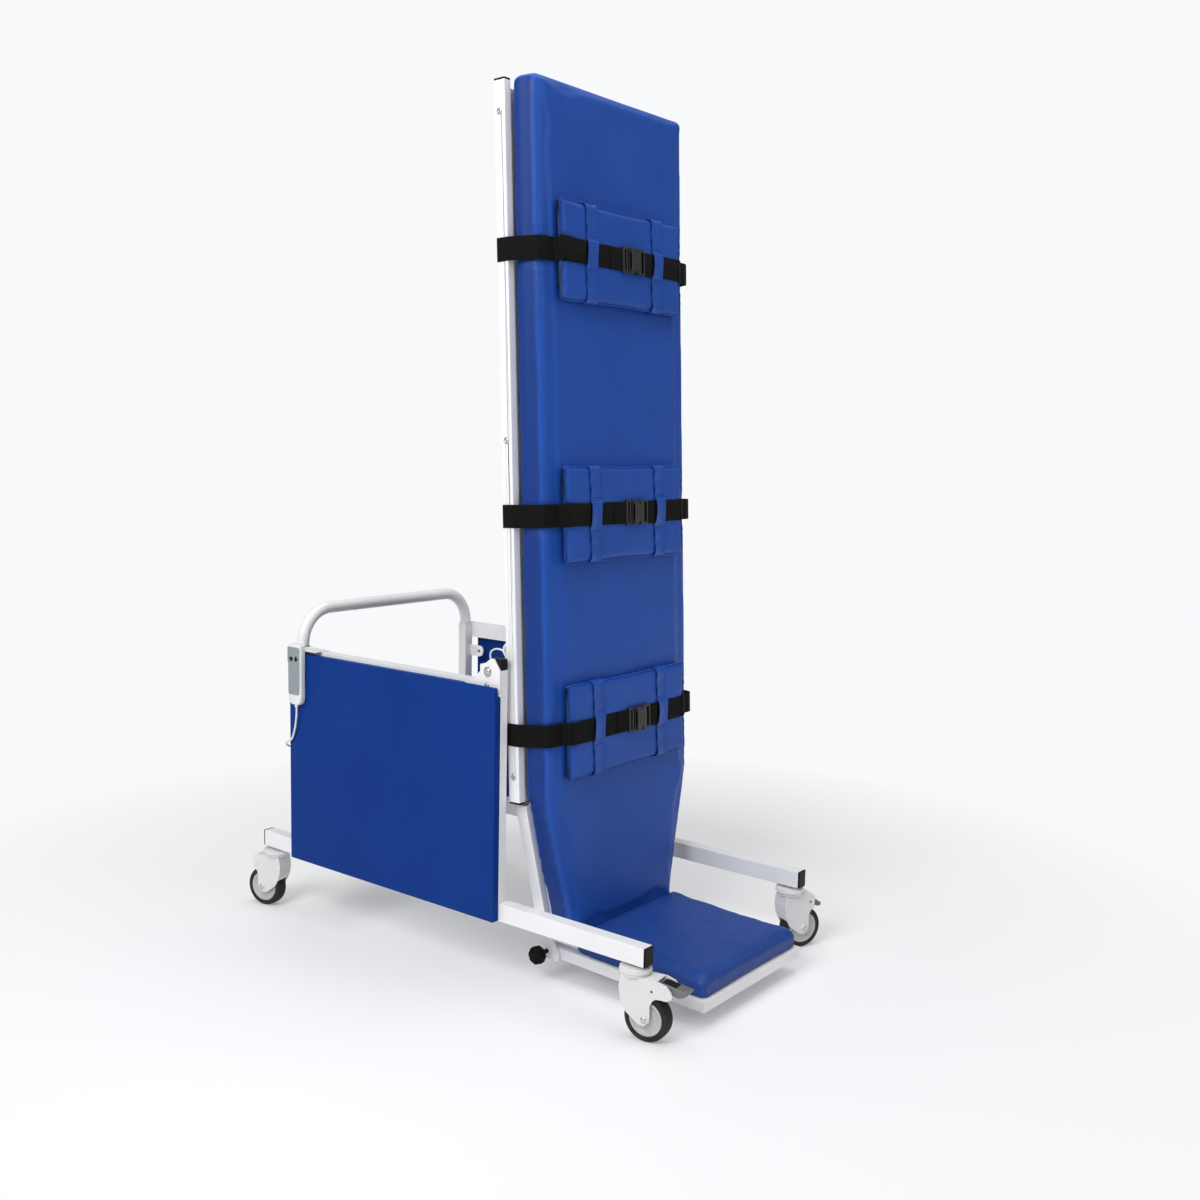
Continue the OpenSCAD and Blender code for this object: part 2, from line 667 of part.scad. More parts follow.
// outlines of the caster parts: how far ahead of the stem, and height
yoke_pts = [[-23.5, 132], [-27, 110], [-23, 84], [-9.4, 58.5], [19, 38], [32, 36.5], [43, 46], [44.5, 61],
    [44, 81]];
long_nose = [[49, 92], [57, 99], [68, 100], [82, 100], [92, 105.5], [94, 111.5], [91, 120], [81, 130.5],
    [62, 136], [-20.5, 136]];
short_nose = [[48, 91], [55, 96], [59, 101], [60, 123], [57.5, 130], [50, 135], [44, 136], [-20.5, 136]];
pedal_slot = [[34, 106], [37.5, 126.5], [58, 132.5], [66, 163], [122, 163], [122, 68], [47, 68]];
tab_slot = [[35, 98], [36, 121], [50, 124], [122, 124], [122, 68], [47, 68]];
pedal_pts = [[38, 118], [42, 124.5], [52, 129], [62, 132], [72, 132.5], [94, 128.5], [pedal_reach, 124],
    [123.5, 118], [115, 112.5], [104, 109], [90, 112.5], [75, 117.5], [58, 117.5], [41, 112]];
tab_pts = [[40, 107], [42, 116], [52, 119.5], [62, 117.5], [76, 109], [tab_reach, 104], [tab_reach, 97],
    [79, 95], [66, 99], [52, 106]];
nose_pts = [long_nose, short_nose, short_nose, short_nose];
slot_pts = [pedal_slot, tab_slot];
brake_pts = [pedal_pts, tab_pts];
brake_w = [pedal_w, tab_w];
function ahead(p) = [for (q = p) [-q[0], q[1]]];
caster_ids = [[near, -1], [far, -1], [near, 1], [far, 1]];
// a caster stands under its stem with its wheel trailing towards its own end of the rail
module at_caster(i) place() translate([caster_ids[i][0] * post_x, stem_y(caster_ids[i][1]), 0])
    rotate([0, 0, (caster_ids[i][1] < 0 ? 0 : 180) + swivels[i]]) children();
// only the front casters have a slot in the nose with a brake pedal or tab
module fork(i) color("white") at_caster(i) {
    cheek_x = fork_w * half - cheek_t;
    difference() {
        union() {
            plate_x(ahead(concat(yoke_pts, nose_pts[i])), -fork_w * half, fork_w * half);
            translate([0, 0, fork_top])
                cylinder(h = collar_h * half, r = collar_d * half * collar_ring_share);
            translate([0, 0, fork_top + collar_h * half]) cylinder(h = collar_h * half, r = collar_d * half);
        }
        translate([0, -trail, axle_z]) rod_x(-cheek_x, cheek_x, wheel_d * half + wheel_room);
        translate([0, 0, collar_z1 - stem_len - overrun])
            cylinder(h = stem_len + 2 * overrun, r = stem_d * half + run_fit);
        if (i < len(slot_pts)) {
            plate_x(ahead(slot_pts[i]), -cheek_x, cheek_x);
            translate([0, -pedal_pin_u, pedal_pin_z]) rod_x(-fork_w, fork_w, pedal_pin_r + run_fit);
        }
    }
    translate([0, -trail, axle_z]) {
        rod_x(-fork_w * half - cheek_t * half, fork_w * half + cheek_t * half, axle_r);
        both_sides() rod_x(fork_w * half, fork_w * half + cheek_t * half, axle_r * head_share);
    }
    if (i >= len(slot_pts)) translate([0, -pedal_pin_u, pedal_pin_z])
        rod_x(-fork_w * half - rivet_t, fork_w * half + rivet_t, pedal_pin_r * head_share);
}
hub_r_share = 0.74;
groove_w = 3;
groove_d = 2.5;
shoulder = 4;
tyre_r = wheel_d * half;
tyre_in = tyre_r * hub_r_share;
// one half of the tyre's section: radius, and distance from the middle of the wheel
tyre_pts = [[tyre_in, wheel_w * half], [tyre_r - shoulder, wheel_w * half],
    [tyre_r - shoulder * 0.3, rib_w + shoulder * 0.3], [tyre_r, rib_w], [tyre_r, groove_w * half],
    [tyre_r - groove_d, groove_w * half]];
function mirrored(p) = [for (i = [len(p) - 1:-1:0]) [p[i][0], -p[i][1]]];
module wheel_tyre(i) color("dimgray") at_caster(i) translate([0, -trail, axle_z])
    rotate([0, quarter_turn, 0]) rotate_extrude() polygon(concat(tyre_pts, mirrored(tyre_pts)));
dish = 5;
hub_boss_r = 12;
hub_rim_r = tyre_in * 0.90;
hub_pts = [[axle_r + run_fit, wheel_w * half], [hub_boss_r, wheel_w * half],
    [hub_boss_r + dish, wheel_w * half - dish], [hub_rim_r - dish, wheel_w * half - dish],
    [hub_rim_r, wheel_w * half], [tyre_in, wheel_w * half]];
module wheel_hub(i) color("lightgray") at_caster(i) translate([0, -trail, axle_z])
    rotate([0, quarter_turn, 0]) rotate_extrude() polygon(concat(hub_pts, mirrored(hub_pts)));
module pedal(i) color("gray") at_caster(i) {
    plate_x(ahead(brake_pts[i]), -brake_w[i] * half, brake_w[i] * half);
    translate([0, -pedal_pin_u, pedal_pin_z])
        rod_x(-fork_w * half - rivet_t, fork_w * half + rivet_t, pedal_pin_r);
}
module caster_stems() color("silver") place() for (c = caster_ids)
    translate([c[0] * post_x, stem_y(c[1]), 0]) {
    translate([0, 0, collar_z1 - stem_len])
        cylinder(h = stem_len + stem_gap + tube_wall, r = stem_d * half);
    translate([0, 0, rail_lift + tube_wall])
        cylinder(h = stem_d * half, r = stem_d * half * head_share, $fn = 6);
    translate([0, 0, collar_z1 + stem_gap * half]) cylinder(h = stem_gap * half, r = stem_d * half * 1.3);
}

// Board

bolt_s_shares = [0.037, 0.513, 0.958];
side_bolt_r = 4;
side_bolt_head = 2.5;
side_bolt_y = -side_rail_d * half;
module side_rails() color("white") on_board() both_sides() difference() {
    tube_block([side_in, -side_rail_d, 0], [side_out, 0, side_rail_len], 2, tube_wall);
    for (k = bolt_s_shares) translate([0, side_bolt_y, k * side_rail_len])
        rod_x(side_in - overrun, side_out + overrun, side_bolt_r + hole_fit);
}
module side_rail_caps() color("black") on_board() for (s = [near, far]) for (e = [0, 1])
    translate([s * (side_in + side_out) * half, -side_rail_d * half, e * side_rail_len])
        rotate([e == 0 ? quarter_turn : -quarter_turn, 0, 0])
        tube_cap(side_rail_w, side_rail_d, tube_wall);
module side_rail_bolts() color("silver") on_board() both_sides() for (k = bolt_s_shares)
    translate([0, side_bolt_y, k * side_rail_len]) {
    rod_x(frame_out - tube_wall - side_bolt_head, side_out, side_bolt_r);
    rod_x(side_out, side_out + side_bolt_head, side_bolt_r * head_share);
    difference() {
        rod_x(frame_out, side_in, side_bolt_r * 2);
        rod_x(frame_out - overrun, side_in + overrun, side_bolt_r);
    }
}
taper_out = 9;
taper_short = 22;
tube_foot_half = mattress_foot_half + taper_out;
taper_end = foot_drop - taper_short;
taper_tube_d = 30;
module board_tubes() color("white") on_board() both_sides() difference() {
    tube_block([frame_out - frame_w, -frame_d, -taper_start], [frame_out, 0, mattress_up - frame_w], 2,
        tube_wall);
    for (k = bolt_s_shares) translate([0, side_bolt_y, k * side_rail_len])
        rod_x(frame_out - frame_w * half, frame_out + overrun, side_bolt_r + hole_fit);
}
taper_tube_w = 20;
module foot_taper_tubes() color("white") on_board() both_sides() difference() {
    taper_solid(0, 0);
    taper_solid(tube_wall, overrun);
}
module taper_solid(d, extra) {
    a = [frame_out + side_gap - hole_fit, -taper_start];
    b = [tube_foot_half, -taper_end];
    u = unit2(b - a);
    v = [-taper_tube_w, 0];
    p = [a + v, b + v, b, a];
    q = [p[0] + [d, 0] - u * extra, p[1] + [d, 0] + u * extra, p[2] - [d, 0] + u * extra,
        p[3] - [d, 0] - u * extra];
    translate([0, -d, 0]) rotate([quarter_turn, 0, 0]) linear_extrude(height = taper_tube_d - 2 * d)
        polygon(q);
}
cross_in = frame_out - frame_w;
lever_s = pivot_s + lever_r;
cross_list = [mattress_up - frame_w * 2, side_rail_len * 0.70, side_rail_len * half, lever_s + eye_r,
    pivot_s - eye_r * 2.6, taper_start * 2];
module board_cross_tubes() color("white") on_board() {
    h = frame_w * half;
    for (s = cross_list) tube_block([-cross_in, -frame_d, s - h], [cross_in, 0, s + h], 0, tube_wall);
    end_x = tube_foot_half - taper_tube_w - hole_fit;
    tube_block([-end_x, -frame_d, -taper_end], [end_x, 0, -taper_end + frame_w], 0, tube_wall);
}
board_edge = 8;
function board_pts(e, up, down) = [[-mattress_half + e, up], [-mattress_half + e, -taper_start],
    [-mattress_foot_half + e, -down], [mattress_foot_half - e, -down], [mattress_half - e, -taper_start],
    [mattress_half - e, up]];
board_y = -frame_d - seat;
module backboard() color("black") on_board() translate([0, board_y, 0]) rotate([quarter_turn, 0, 0])
    linear_extrude(height = backboard_t - 2 * seat) polygon(
        board_pts(taper_tube_w + board_edge, mattress_up - board_edge, mattress_down - board_edge));
mattress_y = -(frame_d + backboard_t);
mattress_edge = 20;
mattress_crown = 2;
crown_in = 60;
corner_n = 4;
module mattress() color("royalblue") on_board() translate([0, mattress_y - seat, 0])
    rotate([quarter_turn, 0, 0])
    padded(board_pts(0, mattress_up, mattress_down), mattress_t, mattress_edge, mattress_crown,
        crown_in, corner_n);

// lugs that hang from the frame to the pivot, and the slotted lever that the rod pushes
lug_up = 52;
lug_low = 4;
lug_r = 20;
slot_len = 19;
// room to each side of the pin, which the rod's straight run needs on the lever's arc
slot_side = 3.5;
lever_r0 = 16;
module tilt_brackets() color("white") on_board() {
    x1 = ear_x - lug_plate_t * half;
    both_sides() difference() {
        hull() {
            translate([0, pivot_depth, pivot_s]) rod_x(x1, x1 + lug_plate_t, lug_r - lug_low);
            block([x1, 0, pivot_s - lug_low], [x1 + lug_plate_t, tube_wall, pivot_s + lug_up]);
        }
        translate([0, pivot_depth, pivot_s])
            rod_x(x1 - overrun, x1 + lug_plate_t + overrun, pin_r + run_fit);
    }
    x0 = eye_w * half + 2 * seat;
    both_sides() difference() {
        hull() {
            for (k = [0, 1]) translate([0, pivot_depth, lever_s - k * slot_len])
                rod_x(x0, x0 + bracket_t, lever_r0);
            block([x0, 0, lever_s - slot_len],
                [x0 + bracket_t, tube_wall, lever_s + eye_r + frame_w * half]);
        }
        hull() for (k = [0, 1]) translate([0, pivot_depth, lever_s - k * slot_len])
            rod_x(x0 - overrun, x0 + bracket_t + overrun, drive_pin_r + hole_fit + slot_side);
    }
    // pads that tie the lugs to the frame's long tubes
    both_sides() block([x1, -frame_d, pivot_s - lug_low], [cross_in, 0, pivot_s + lug_up]);
}
// cheeks on the lower end of the tapered tubes, for the footboard's hinge
cheek_x0 = tube_foot_half + hole_fit;
foot_cheek_t = 6;
foot_bracket_r = 18;
module foot_brackets() color("white") on_board() both_sides() difference() {
    hull() {
        translate([0, -foot_ahead, -foot_drop]) rod_x(cheek_x0, cheek_x0 + foot_cheek_t, foot_bracket_r);
        block([cheek_x0, -taper_tube_d, -taper_end],
            [cheek_x0 + foot_cheek_t, 0, -taper_end + frame_w * 1.2]);
        block([cheek_x0, -foot_ahead - foot_bracket_r - eye_r, -foot_drop - foot_bracket_r],
            [cheek_x0 + foot_cheek_t, -foot_ahead, -foot_drop]);
    }
    translate([0, -foot_ahead, -foot_drop])
        rod_x(cheek_x0 - overrun, cheek_x0 + foot_cheek_t + overrun, knob_stem_r + run_fit);
    // room for the sloping tube beside the cheek
    taper_room();
}
module taper_room() {
    a = [frame_out + side_gap, -taper_start];
    b = [tube_foot_half, -taper_end];
    translate([0, overrun, 0]) rotate([quarter_turn, 0, 0])
        linear_extrude(height = taper_tube_d + 2 * overrun)
        polygon([[0, b[1]], [b[0] + hole_fit, b[1]], [a[0] + hole_fit, a[1]], [0, a[1]]]);
}

// Straps

front_y0 = mattress_y - seat - mattress_t;
pad_gap = 0.3;
wrap = 0.4;
strap_half = strap_t * half;
strap_slack = 1.5;
strap_ease = 4;
pad_front = -front_y0 + pad_gap + pad_t;
strap_e = pad_front + pad_gap + strap_half;
// half of a strap, from behind the side rail round the rail, over the mattress and onto the pad
function strap_path() = let (o = wrap + strap_half, ro = side_out + o, ri = side_in - o)
    let (fr = side_rail_d + o, edge = mattress_half + o, cr = mattress_edge)
    let (me = -front_y0 + o, pe = pad_w * half + o)
    [[ri, side_rail_d * half], [ri, -o], [ro, -o], [ro, fr - cr * 0.1],
     [edge + strap_slack, me - cr * 1.1], [edge - cr * 0.22, me - cr * 0.25], [edge - cr, me],
     [pe + strap_ease, me], [pe - pad_edge * 0.2, strap_e - pad_t * 0.35], [pe - pad_edge, strap_e],
     [0, strap_e]];
module strap_at(s) on_board() translate([0, 0, s - strap_w * half]) linear_extrude(height = strap_w) {
    p = strap_path();
    full = concat([for (i = [0:len(p) - 2]) [-p[i][0], -p[i][1]]],
        [for (i = [len(p) - 2:-1:0]) [p[i][0], -p[i][1]]]);
    polygon(band_pts(full, strap_t));
}
module straps() color("black") for (s = [strap_top_s, strap_mid_s, strap_low_s]) strap_at(s);

pad_edge = 14;
pad_pull = 5;
pad_crown = 1.5;
pad_inner = 34;
pad_n = 3;
loop_w = 40;
loop_at = 120;
loop_t = 1.6;
loop_ease = 1;
pad_outline = [[-pad_w * half, -pad_h * half], [0, -pad_h * half + pad_pull],
    [pad_w * half, -pad_h * half], [pad_w * half - pad_pull, 0], [pad_w * half, pad_h * half],
    [0, pad_h * half - pad_pull], [-pad_w * half, pad_h * half], [-pad_w * half + pad_pull, 0]];
// half of a belt loop: distance from the strap's middle line and height over the back of the pad
loop_low = pad_t + seat * half + loop_t * half;
loop_high = pad_t + pad_gap + strap_t + seat + loop_t * half;
loop_open = strap_w * half + loop_ease;
loop_end = pad_h * half - pad_pull * half;
loop_half = [[loop_open, loop_high], [loop_open + loop_t, loop_low], [loop_end - pad_edge * half, loop_low],
    [loop_end - 1, pad_t * 0.85], [loop_end + loop_t * half, pad_t * half], [loop_end, pad_t * 0.15]];
module strap_pads() color("royalblue") for (s = [strap_top_s, strap_mid_s, strap_low_s]) on_board()
    translate([0, front_y0 - pad_gap, s]) rotate([quarter_turn, 0, 0]) {
    padded(pad_outline, pad_t, pad_edge, pad_crown, pad_inner, pad_n);
    for (k = [-1, 1]) translate([k * loop_at - loop_w * half, 0, 0])
        rotate([quarter_turn, 0, quarter_turn]) linear_extrude(height = loop_w)
        polygon(band_pts(concat([for (i = [len(loop_half) - 1:-1:0]) [-loop_half[i][0], loop_half[i][1]]],
            loop_half), loop_t));
}
buckle_h = 56;
buckle_split = 0.42;
buckle_r = 4;
buckle_n = 3;
module buckles() color("black") for (s = [strap_top_s, strap_mid_s, strap_low_s]) on_board()
    translate([buckle_x, -(strap_e + strap_half + seat), s]) rotate([quarter_turn, 0, 0]) {
    x0 = -buckle_l * half;
    x1 = x0 + buckle_l * buckle_split;
    y0 = buckle_h * half;
    y1 = buckle_h * 0.46;
    linear_extrude(height = buckle_t)
        polygon(round_pts([[x1, -y0], [-x0, -y0], [-x0, y0], [x1, y0]], buckle_r, buckle_n));
    linear_extrude(height = buckle_t * 0.85) polygon(
        round_pts([[x0, -y1], [x1 - seat, -y1], [x1 - seat, y1], [x0, y1]], buckle_r * 0.75, buckle_n));
}

// Footboard

knob_stem_r = 5;
foot_half = foot_width * half;
tube_half = foot_tube * half;
foot_tail = 12;
module foot_frame() color("white") on_foot() {
    difference() {
        union() {
            both_sides() tube_block([foot_half - foot_tube, -foot_reach + foot_tube, -tube_half],
                [foot_half, foot_tail, tube_half], 1, tube_wall);
            tube_block([-foot_half, -foot_reach, -tube_half],
                [foot_half, -foot_reach + foot_tube, tube_half], 0, tube_wall);
            tube_block([-foot_half + foot_tube, -foot_cushion_back - foot_tube, -tube_half],
                [foot_half - foot_tube, -foot_cushion_back, tube_half], 0, tube_wall);
            both_sides() rod_x(foot_half - foot_tube, foot_half, knob_stem_r + tube_wall);
        }
        both_sides() rod_x(foot_half - foot_tube - overrun, foot_half + overrun, knob_stem_r + run_fit);
    }
}
foot_edge = 14;
foot_over = 2;
foot_crown = 6;
foot_inner = 70;
cushion_half = foot_half - foot_over;
foot_len0 = foot_cushion_back;
foot_len1 = foot_reach - foot_over;
module foot_cushion() color("royalblue") on_foot() translate([0, 0, tube_half + seat])
    padded([[-cushion_half, -foot_len1], [cushion_half, -foot_len1], [cushion_half, -foot_len0],
        [-cushion_half, -foot_len0]], foot_cushion_t, foot_edge, foot_crown, foot_inner, corner_n);
knob_gap = 22;
knob_t = 22;
knob_lobes = 8;
lobe_share = 0.17;
module knob(s) color("black") on_board() translate(hinge_local) scale([s, 1, 1]) {
    x0 = cheek_x0 + foot_cheek_t;
    rod_x(foot_half - foot_tube, x0 + knob_gap + overrun, knob_stem_r);
    translate([x0 + knob_gap, 0, 0]) rotate([0, quarter_turn, 0]) {
        cylinder(h = knob_t, r = knob_d * half * (1 - lobe_share));
        for (k = [0:knob_lobes - 1]) rotate([0, 0, 360 * k / knob_lobes])
            translate([knob_d * half * (1 - lobe_share), 0, 0])
            cylinder(h = knob_t, r = knob_d * half * lobe_share * 1.6, $fn = 16);
    }
    rod_x(x0 + seat, x0 + knob_gap, knob_stem_r * 1.8);
}
module knob_near() knob(near);
module knob_far() knob(far);

// Tilt drive

rod_end = [0, pivot_y + lever_r * sin(lean), pivot_z + lever_r * cos(lean)];
drive_v = rod_end - [0, base_pin_y, base_pin_z];
drive_len = norm(drive_v);
drive_tilt = atan2(drive_v[1], drive_v[2]);
gear_start = 18;
gear_len = 120;
gear_w = 54;
gear_d = 60;
case_end = 483;
case_w = 42;
bore_wall = 60;
case_bore_start = gear_start + gear_len + bore_wall;
rod_in = 161;
rod_start = case_end - rod_in;
motor_d = 52;
motor_len = 130;
neck_len = 45;
neck_half = 7;
module at_drive() place() translate([0, base_pin_y, base_pin_z]) rotate([-drive_tilt, 0, 0]) children();
module actuator_body() color("dimgray") at_drive() difference() {
    union() {
        rod_x(-eye_w * half, eye_w * half, eye_r);
        block([-eye_w * half, -eye_r, 0], [eye_w * half, eye_r, gear_start + overrun]);
        block([-gear_w * half, -gear_d * half, gear_start],
            [gear_w * half, gear_d * half, gear_start + gear_len]);
        translate([0, gear_d * half + motor_d * half - overrun, gear_start + overrun])
            cylinder(h = motor_len, r = motor_d * half);
        translate([0, 0, gear_start + gear_len - overrun])
            cylinder(h = case_end - gear_start - gear_len + overrun, r = case_w * half);
        rod_x(-eye_w * half - bracket_t - seat, eye_w * half + bracket_t + seat, drive_pin_r);
    }
    translate([0, 0, case_bore_start])
        cylinder(h = case_end - case_bore_start + overrun, r = rod_d * half + run_fit);
}
module actuator_rod() color("silver") at_drive() {
    translate([0, 0, rod_start]) cylinder(h = drive_len - neck_len - rod_start, r = rod_d * half);
    block([-eye_w * half, -neck_half, drive_len - neck_len - overrun],
        [eye_w * half, neck_half, drive_len - eye_r * half]);
    pin_x = eye_w * half + bracket_t + 3 * seat;
    translate([0, 0, drive_len]) {
        rod_x(-eye_w * half, eye_w * half, eye_r);
        rod_x(-pin_x, pin_x, drive_pin_r);
    }
}

base_rails();
rail_end_caps();
front_posts();
rear_posts();
top_rails();
post_caps();
side_panel_near();
side_panel_far();
push_handle();
pivot_beam();
pivot_pins();
gussets();
gusset_bolts();
cross_members();
control_box();
mains_inlet();
handset_holder();
loop_cable();
caster_stems();
handset_shell();
handset_face();
handset_cord();
handset_button_up();
handset_button_down();
side_rails();
side_rail_caps();
side_rail_bolts();
board_tubes();
foot_taper_tubes();
board_cross_tubes();
backboard();
mattress();
tilt_brackets();
foot_brackets();
straps();
strap_pads();
buckles();
foot_frame();
foot_cushion();
knob_near();
knob_far();
actuator_body();
actuator_rod();
fork(0);  // fork_nf
wheel_hub(0);  // hub_nf
wheel_tyre(0);  // tyre_nf
pedal(0);  // pedal_nf
fork(1);  // fork_ff
wheel_hub(1);  // hub_ff
wheel_tyre(1);  // tyre_ff
pedal(1);  // pedal_ff
fork(2);  // fork_nr
wheel_hub(2);  // hub_nr
wheel_tyre(2);  // tyre_nr
fork(3);  // fork_fr
wheel_hub(3);  // hub_fr
wheel_tyre(3);  // tyre_fr
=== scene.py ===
import json
import math
import bmesh
import bpy
import numpy as np
from mathutils import Matrix, Vector


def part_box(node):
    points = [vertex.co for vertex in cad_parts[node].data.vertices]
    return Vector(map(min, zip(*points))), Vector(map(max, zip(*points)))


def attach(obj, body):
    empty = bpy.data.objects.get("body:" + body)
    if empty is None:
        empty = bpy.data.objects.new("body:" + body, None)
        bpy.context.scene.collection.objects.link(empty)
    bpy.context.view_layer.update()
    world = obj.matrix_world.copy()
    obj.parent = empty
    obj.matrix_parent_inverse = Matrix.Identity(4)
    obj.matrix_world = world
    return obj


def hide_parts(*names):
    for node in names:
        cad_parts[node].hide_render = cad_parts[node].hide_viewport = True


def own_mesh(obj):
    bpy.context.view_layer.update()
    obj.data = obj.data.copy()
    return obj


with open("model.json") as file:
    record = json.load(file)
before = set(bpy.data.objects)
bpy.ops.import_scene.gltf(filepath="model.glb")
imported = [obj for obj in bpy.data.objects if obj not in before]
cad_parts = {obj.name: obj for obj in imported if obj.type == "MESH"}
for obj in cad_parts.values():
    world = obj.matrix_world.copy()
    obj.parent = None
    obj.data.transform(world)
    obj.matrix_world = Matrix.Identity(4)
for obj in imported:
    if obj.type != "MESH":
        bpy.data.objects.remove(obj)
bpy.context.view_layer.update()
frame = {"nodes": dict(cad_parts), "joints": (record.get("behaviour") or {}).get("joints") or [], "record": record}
NODES = frame["nodes"]
JOINTS = {j["name"]: j for j in frame["joints"]}
MM = 0.001


def mm(*values):
    """Millimetres to a vector in metres."""
    return Vector([v * MM for v in values])


# Places: the source's own coordinates in millimetres, before it moves the part over its origin

TILT_PIVOT = (0, -125, 735)
BOARD_FROM_PIVOT = (0, -66, -320)
BOARD_LEAN = math.radians(2.545)
FOOT_HINGE = (0, -27, -357)
FOOT_ANGLE = math.radians(4.545)
SHIFT = Vector(JOINTS["board_tilt"]["pos_m"]) - mm(*TILT_PIVOT)
TO_METRES = Matrix.Translation(SHIFT) @ Matrix.Scale(MM, 4)
# the board's frame has X across it, -Y ahead of its back plane and Z along it
BOARD = (TO_METRES @ Matrix.Translation(TILT_PIVOT) @ Matrix.Rotation(-BOARD_LEAN, 4, "X")
         @ Matrix.Translation(BOARD_FROM_PIVOT))
# the footboard's frame has its hinge as X, and -Y ahead along it
FOOT = BOARD @ Matrix.Translation(FOOT_HINGE) @ Matrix.Rotation(FOOT_ANGLE, 4, "X")


def caster_place(key):
    """Frame of a caster: its stem at the origin, its wheel ahead along -Y."""
    axle = Vector(JOINTS["wheel_%s_roll" % key]["axis"])
    at = Vector(JOINTS["swivel_%s_turn" % key]["pos_m"])
    turn = math.atan2(axle.y, axle.x)
    return Matrix.Translation((at.x, at.y, 0)) @ Matrix.Rotation(turn, 4, "Z") @ Matrix.Scale(MM, 4)


# Camera at the photograph's viewpoint

PHOTO_SIZE = 1200
FOCAL_PX = 1306.353
CENTRE_PX = (595.822, 594.212)
SENSOR_MM = 36
CAMERA_AT = mm(-2379.15, -2067.318, 1212.89) + SHIFT
CAMERA_AZIMUTH = math.radians(-51.973)
CAMERA_PITCH = math.radians(6.798)
CAMERA_ROLL = math.radians(1.131)


def make_camera():
    a, e, r = CAMERA_AZIMUTH, CAMERA_PITCH, CAMERA_ROLL
    look = Vector((-math.sin(a) * math.cos(e), math.cos(a) * math.cos(e), -math.sin(e)))
    right = Vector((math.cos(a), math.sin(a), 0))
    up = right.cross(look)
    right, up = right * math.cos(r) + up * math.sin(r), up * math.cos(r) - right * math.sin(r)
    data = bpy.data.cameras.new("camera")
    data.sensor_width = SENSOR_MM
    data.lens = SENSOR_MM * FOCAL_PX / PHOTO_SIZE
    data.shift_x = 0.5 - CENTRE_PX[0] / PHOTO_SIZE
    data.shift_y = CENTRE_PX[1] / PHOTO_SIZE - 0.5
    data.clip_end = 100
    camera = bpy.data.objects.new("camera", data)
    camera.matrix_world = Matrix.LocRotScale(CAMERA_AT, Matrix((right, up, -look)).transposed(), None)
    bpy.context.scene.collection.objects.link(camera)
    bpy.context.scene.camera = camera


make_camera()

# Mesh helpers


def link(obj):
    bpy.context.scene.collection.objects.link(obj)
    return obj


def mesh_object(name, verts, faces, place=None, uvs=None):
    """A smooth mesh of points in its place's own units, put into metres in the shared frame."""
    mesh = bpy.data.meshes.new(name)
    if place is not None:
        verts = [place @ Vector(v) for v in verts]
    mesh.from_pydata([tuple(v) for v in verts], [], faces)
    if uvs is not None:
        layer = mesh.uv_layers.new(name="UVMap")
        for loop in mesh.loops:
            layer.data[loop.index].uv = uvs[loop.vertex_index]
    mesh.validate()
    fix = bmesh.new()
    fix.from_mesh(mesh)
    bmesh.ops.recalc_face_normals(fix, faces=fix.faces)
    fix.to_mesh(mesh)
    fix.free()
    mesh.shade_smooth()
    return link(bpy.data.objects.new(name, mesh))


def paint(obj, material):
    obj.data.materials.clear()
    obj.data.materials.append(material)


BEVEL_SEGMENTS = 3
BEVEL_ANGLE = math.radians(30)
WELD_DISTANCE = 2e-5


def bevel(obj, width):
    m = obj.modifiers.new("bevel", "BEVEL")
    m.width = width
    m.segments = BEVEL_SEGMENTS
    m.limit_method = "ANGLE"
    m.angle_limit = BEVEL_ANGLE
    m.harden_normals = True
    m.use_clamp_overlap = True
    return obj


def finish_piece(obj, body, material, slot, *nodes):
    """Paints a piece, lets it ride on its body and hides the CAD nodes it stands for."""
    paint(obj, material)
    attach(obj, body)
    if nodes:
        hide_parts(*nodes)
    return obj


def ring_faces(rings, count, start=0, close=False):
    """Faces between rings of count points each; close joins the last ring to the first."""
    faces = []
    for k in range(rings if close else rings - 1):
        a, b = start + k * count, start + ((k + 1) % rings) * count
        for j in range(count):
            n = (j + 1) % count
            faces.append((a + j, a + n, b + n, b + j))
    return faces


def loft(name, rings, place=None, uvs=None):
    """A skin over rings of points, with its ends closed."""
    count = len(rings[0])
    last = (len(rings) - 1) * count
    faces = ring_faces(len(rings), count)
    faces += [tuple(range(count)), tuple(last + j for j in range(count))]
    return mesh_object(name, [p for r in rings for p in r], faces, place, uvs)


def closed_loft(name, rings, place):
    """A skin over rings that form a closed chain, such as a tyre or a welt."""
    count = len(rings[0])
    return mesh_object(name, [p for r in rings for p in r], ring_faces(len(rings), count, close=True), place)


def turned(profile, segments, axis="X", share=None):
    """Rings of a turned form from (radius, distance along X or Z).

    share(i, t) gives the radius of ring i at the angle t in shares of its own, where it isn't round.
    """
    rings = []
    for i, (r, h) in enumerate(profile):
        ring = []
        for t in [2 * math.pi * j / segments for j in range(segments)]:
            q = r * share(i, t) if share else r
            c, s = q * math.cos(t), q * math.sin(t)
            ring.append((h, c, s) if axis == "X" else (c, s, h))
        rings.append(ring)
    return rings


def join(name, parts):
    """One mesh from several objects, keeping UVs and dropping the parts."""
    mesh = bpy.data.meshes.new(name)
    bm = bmesh.new()
    for p in parts:
        p.data.transform(p.matrix_world)
        bm.from_mesh(p.data)
        bpy.data.objects.remove(p)
    bm.to_mesh(mesh)
    bm.free()
    mesh.shade_smooth()
    return link(bpy.data.objects.new(name, mesh))


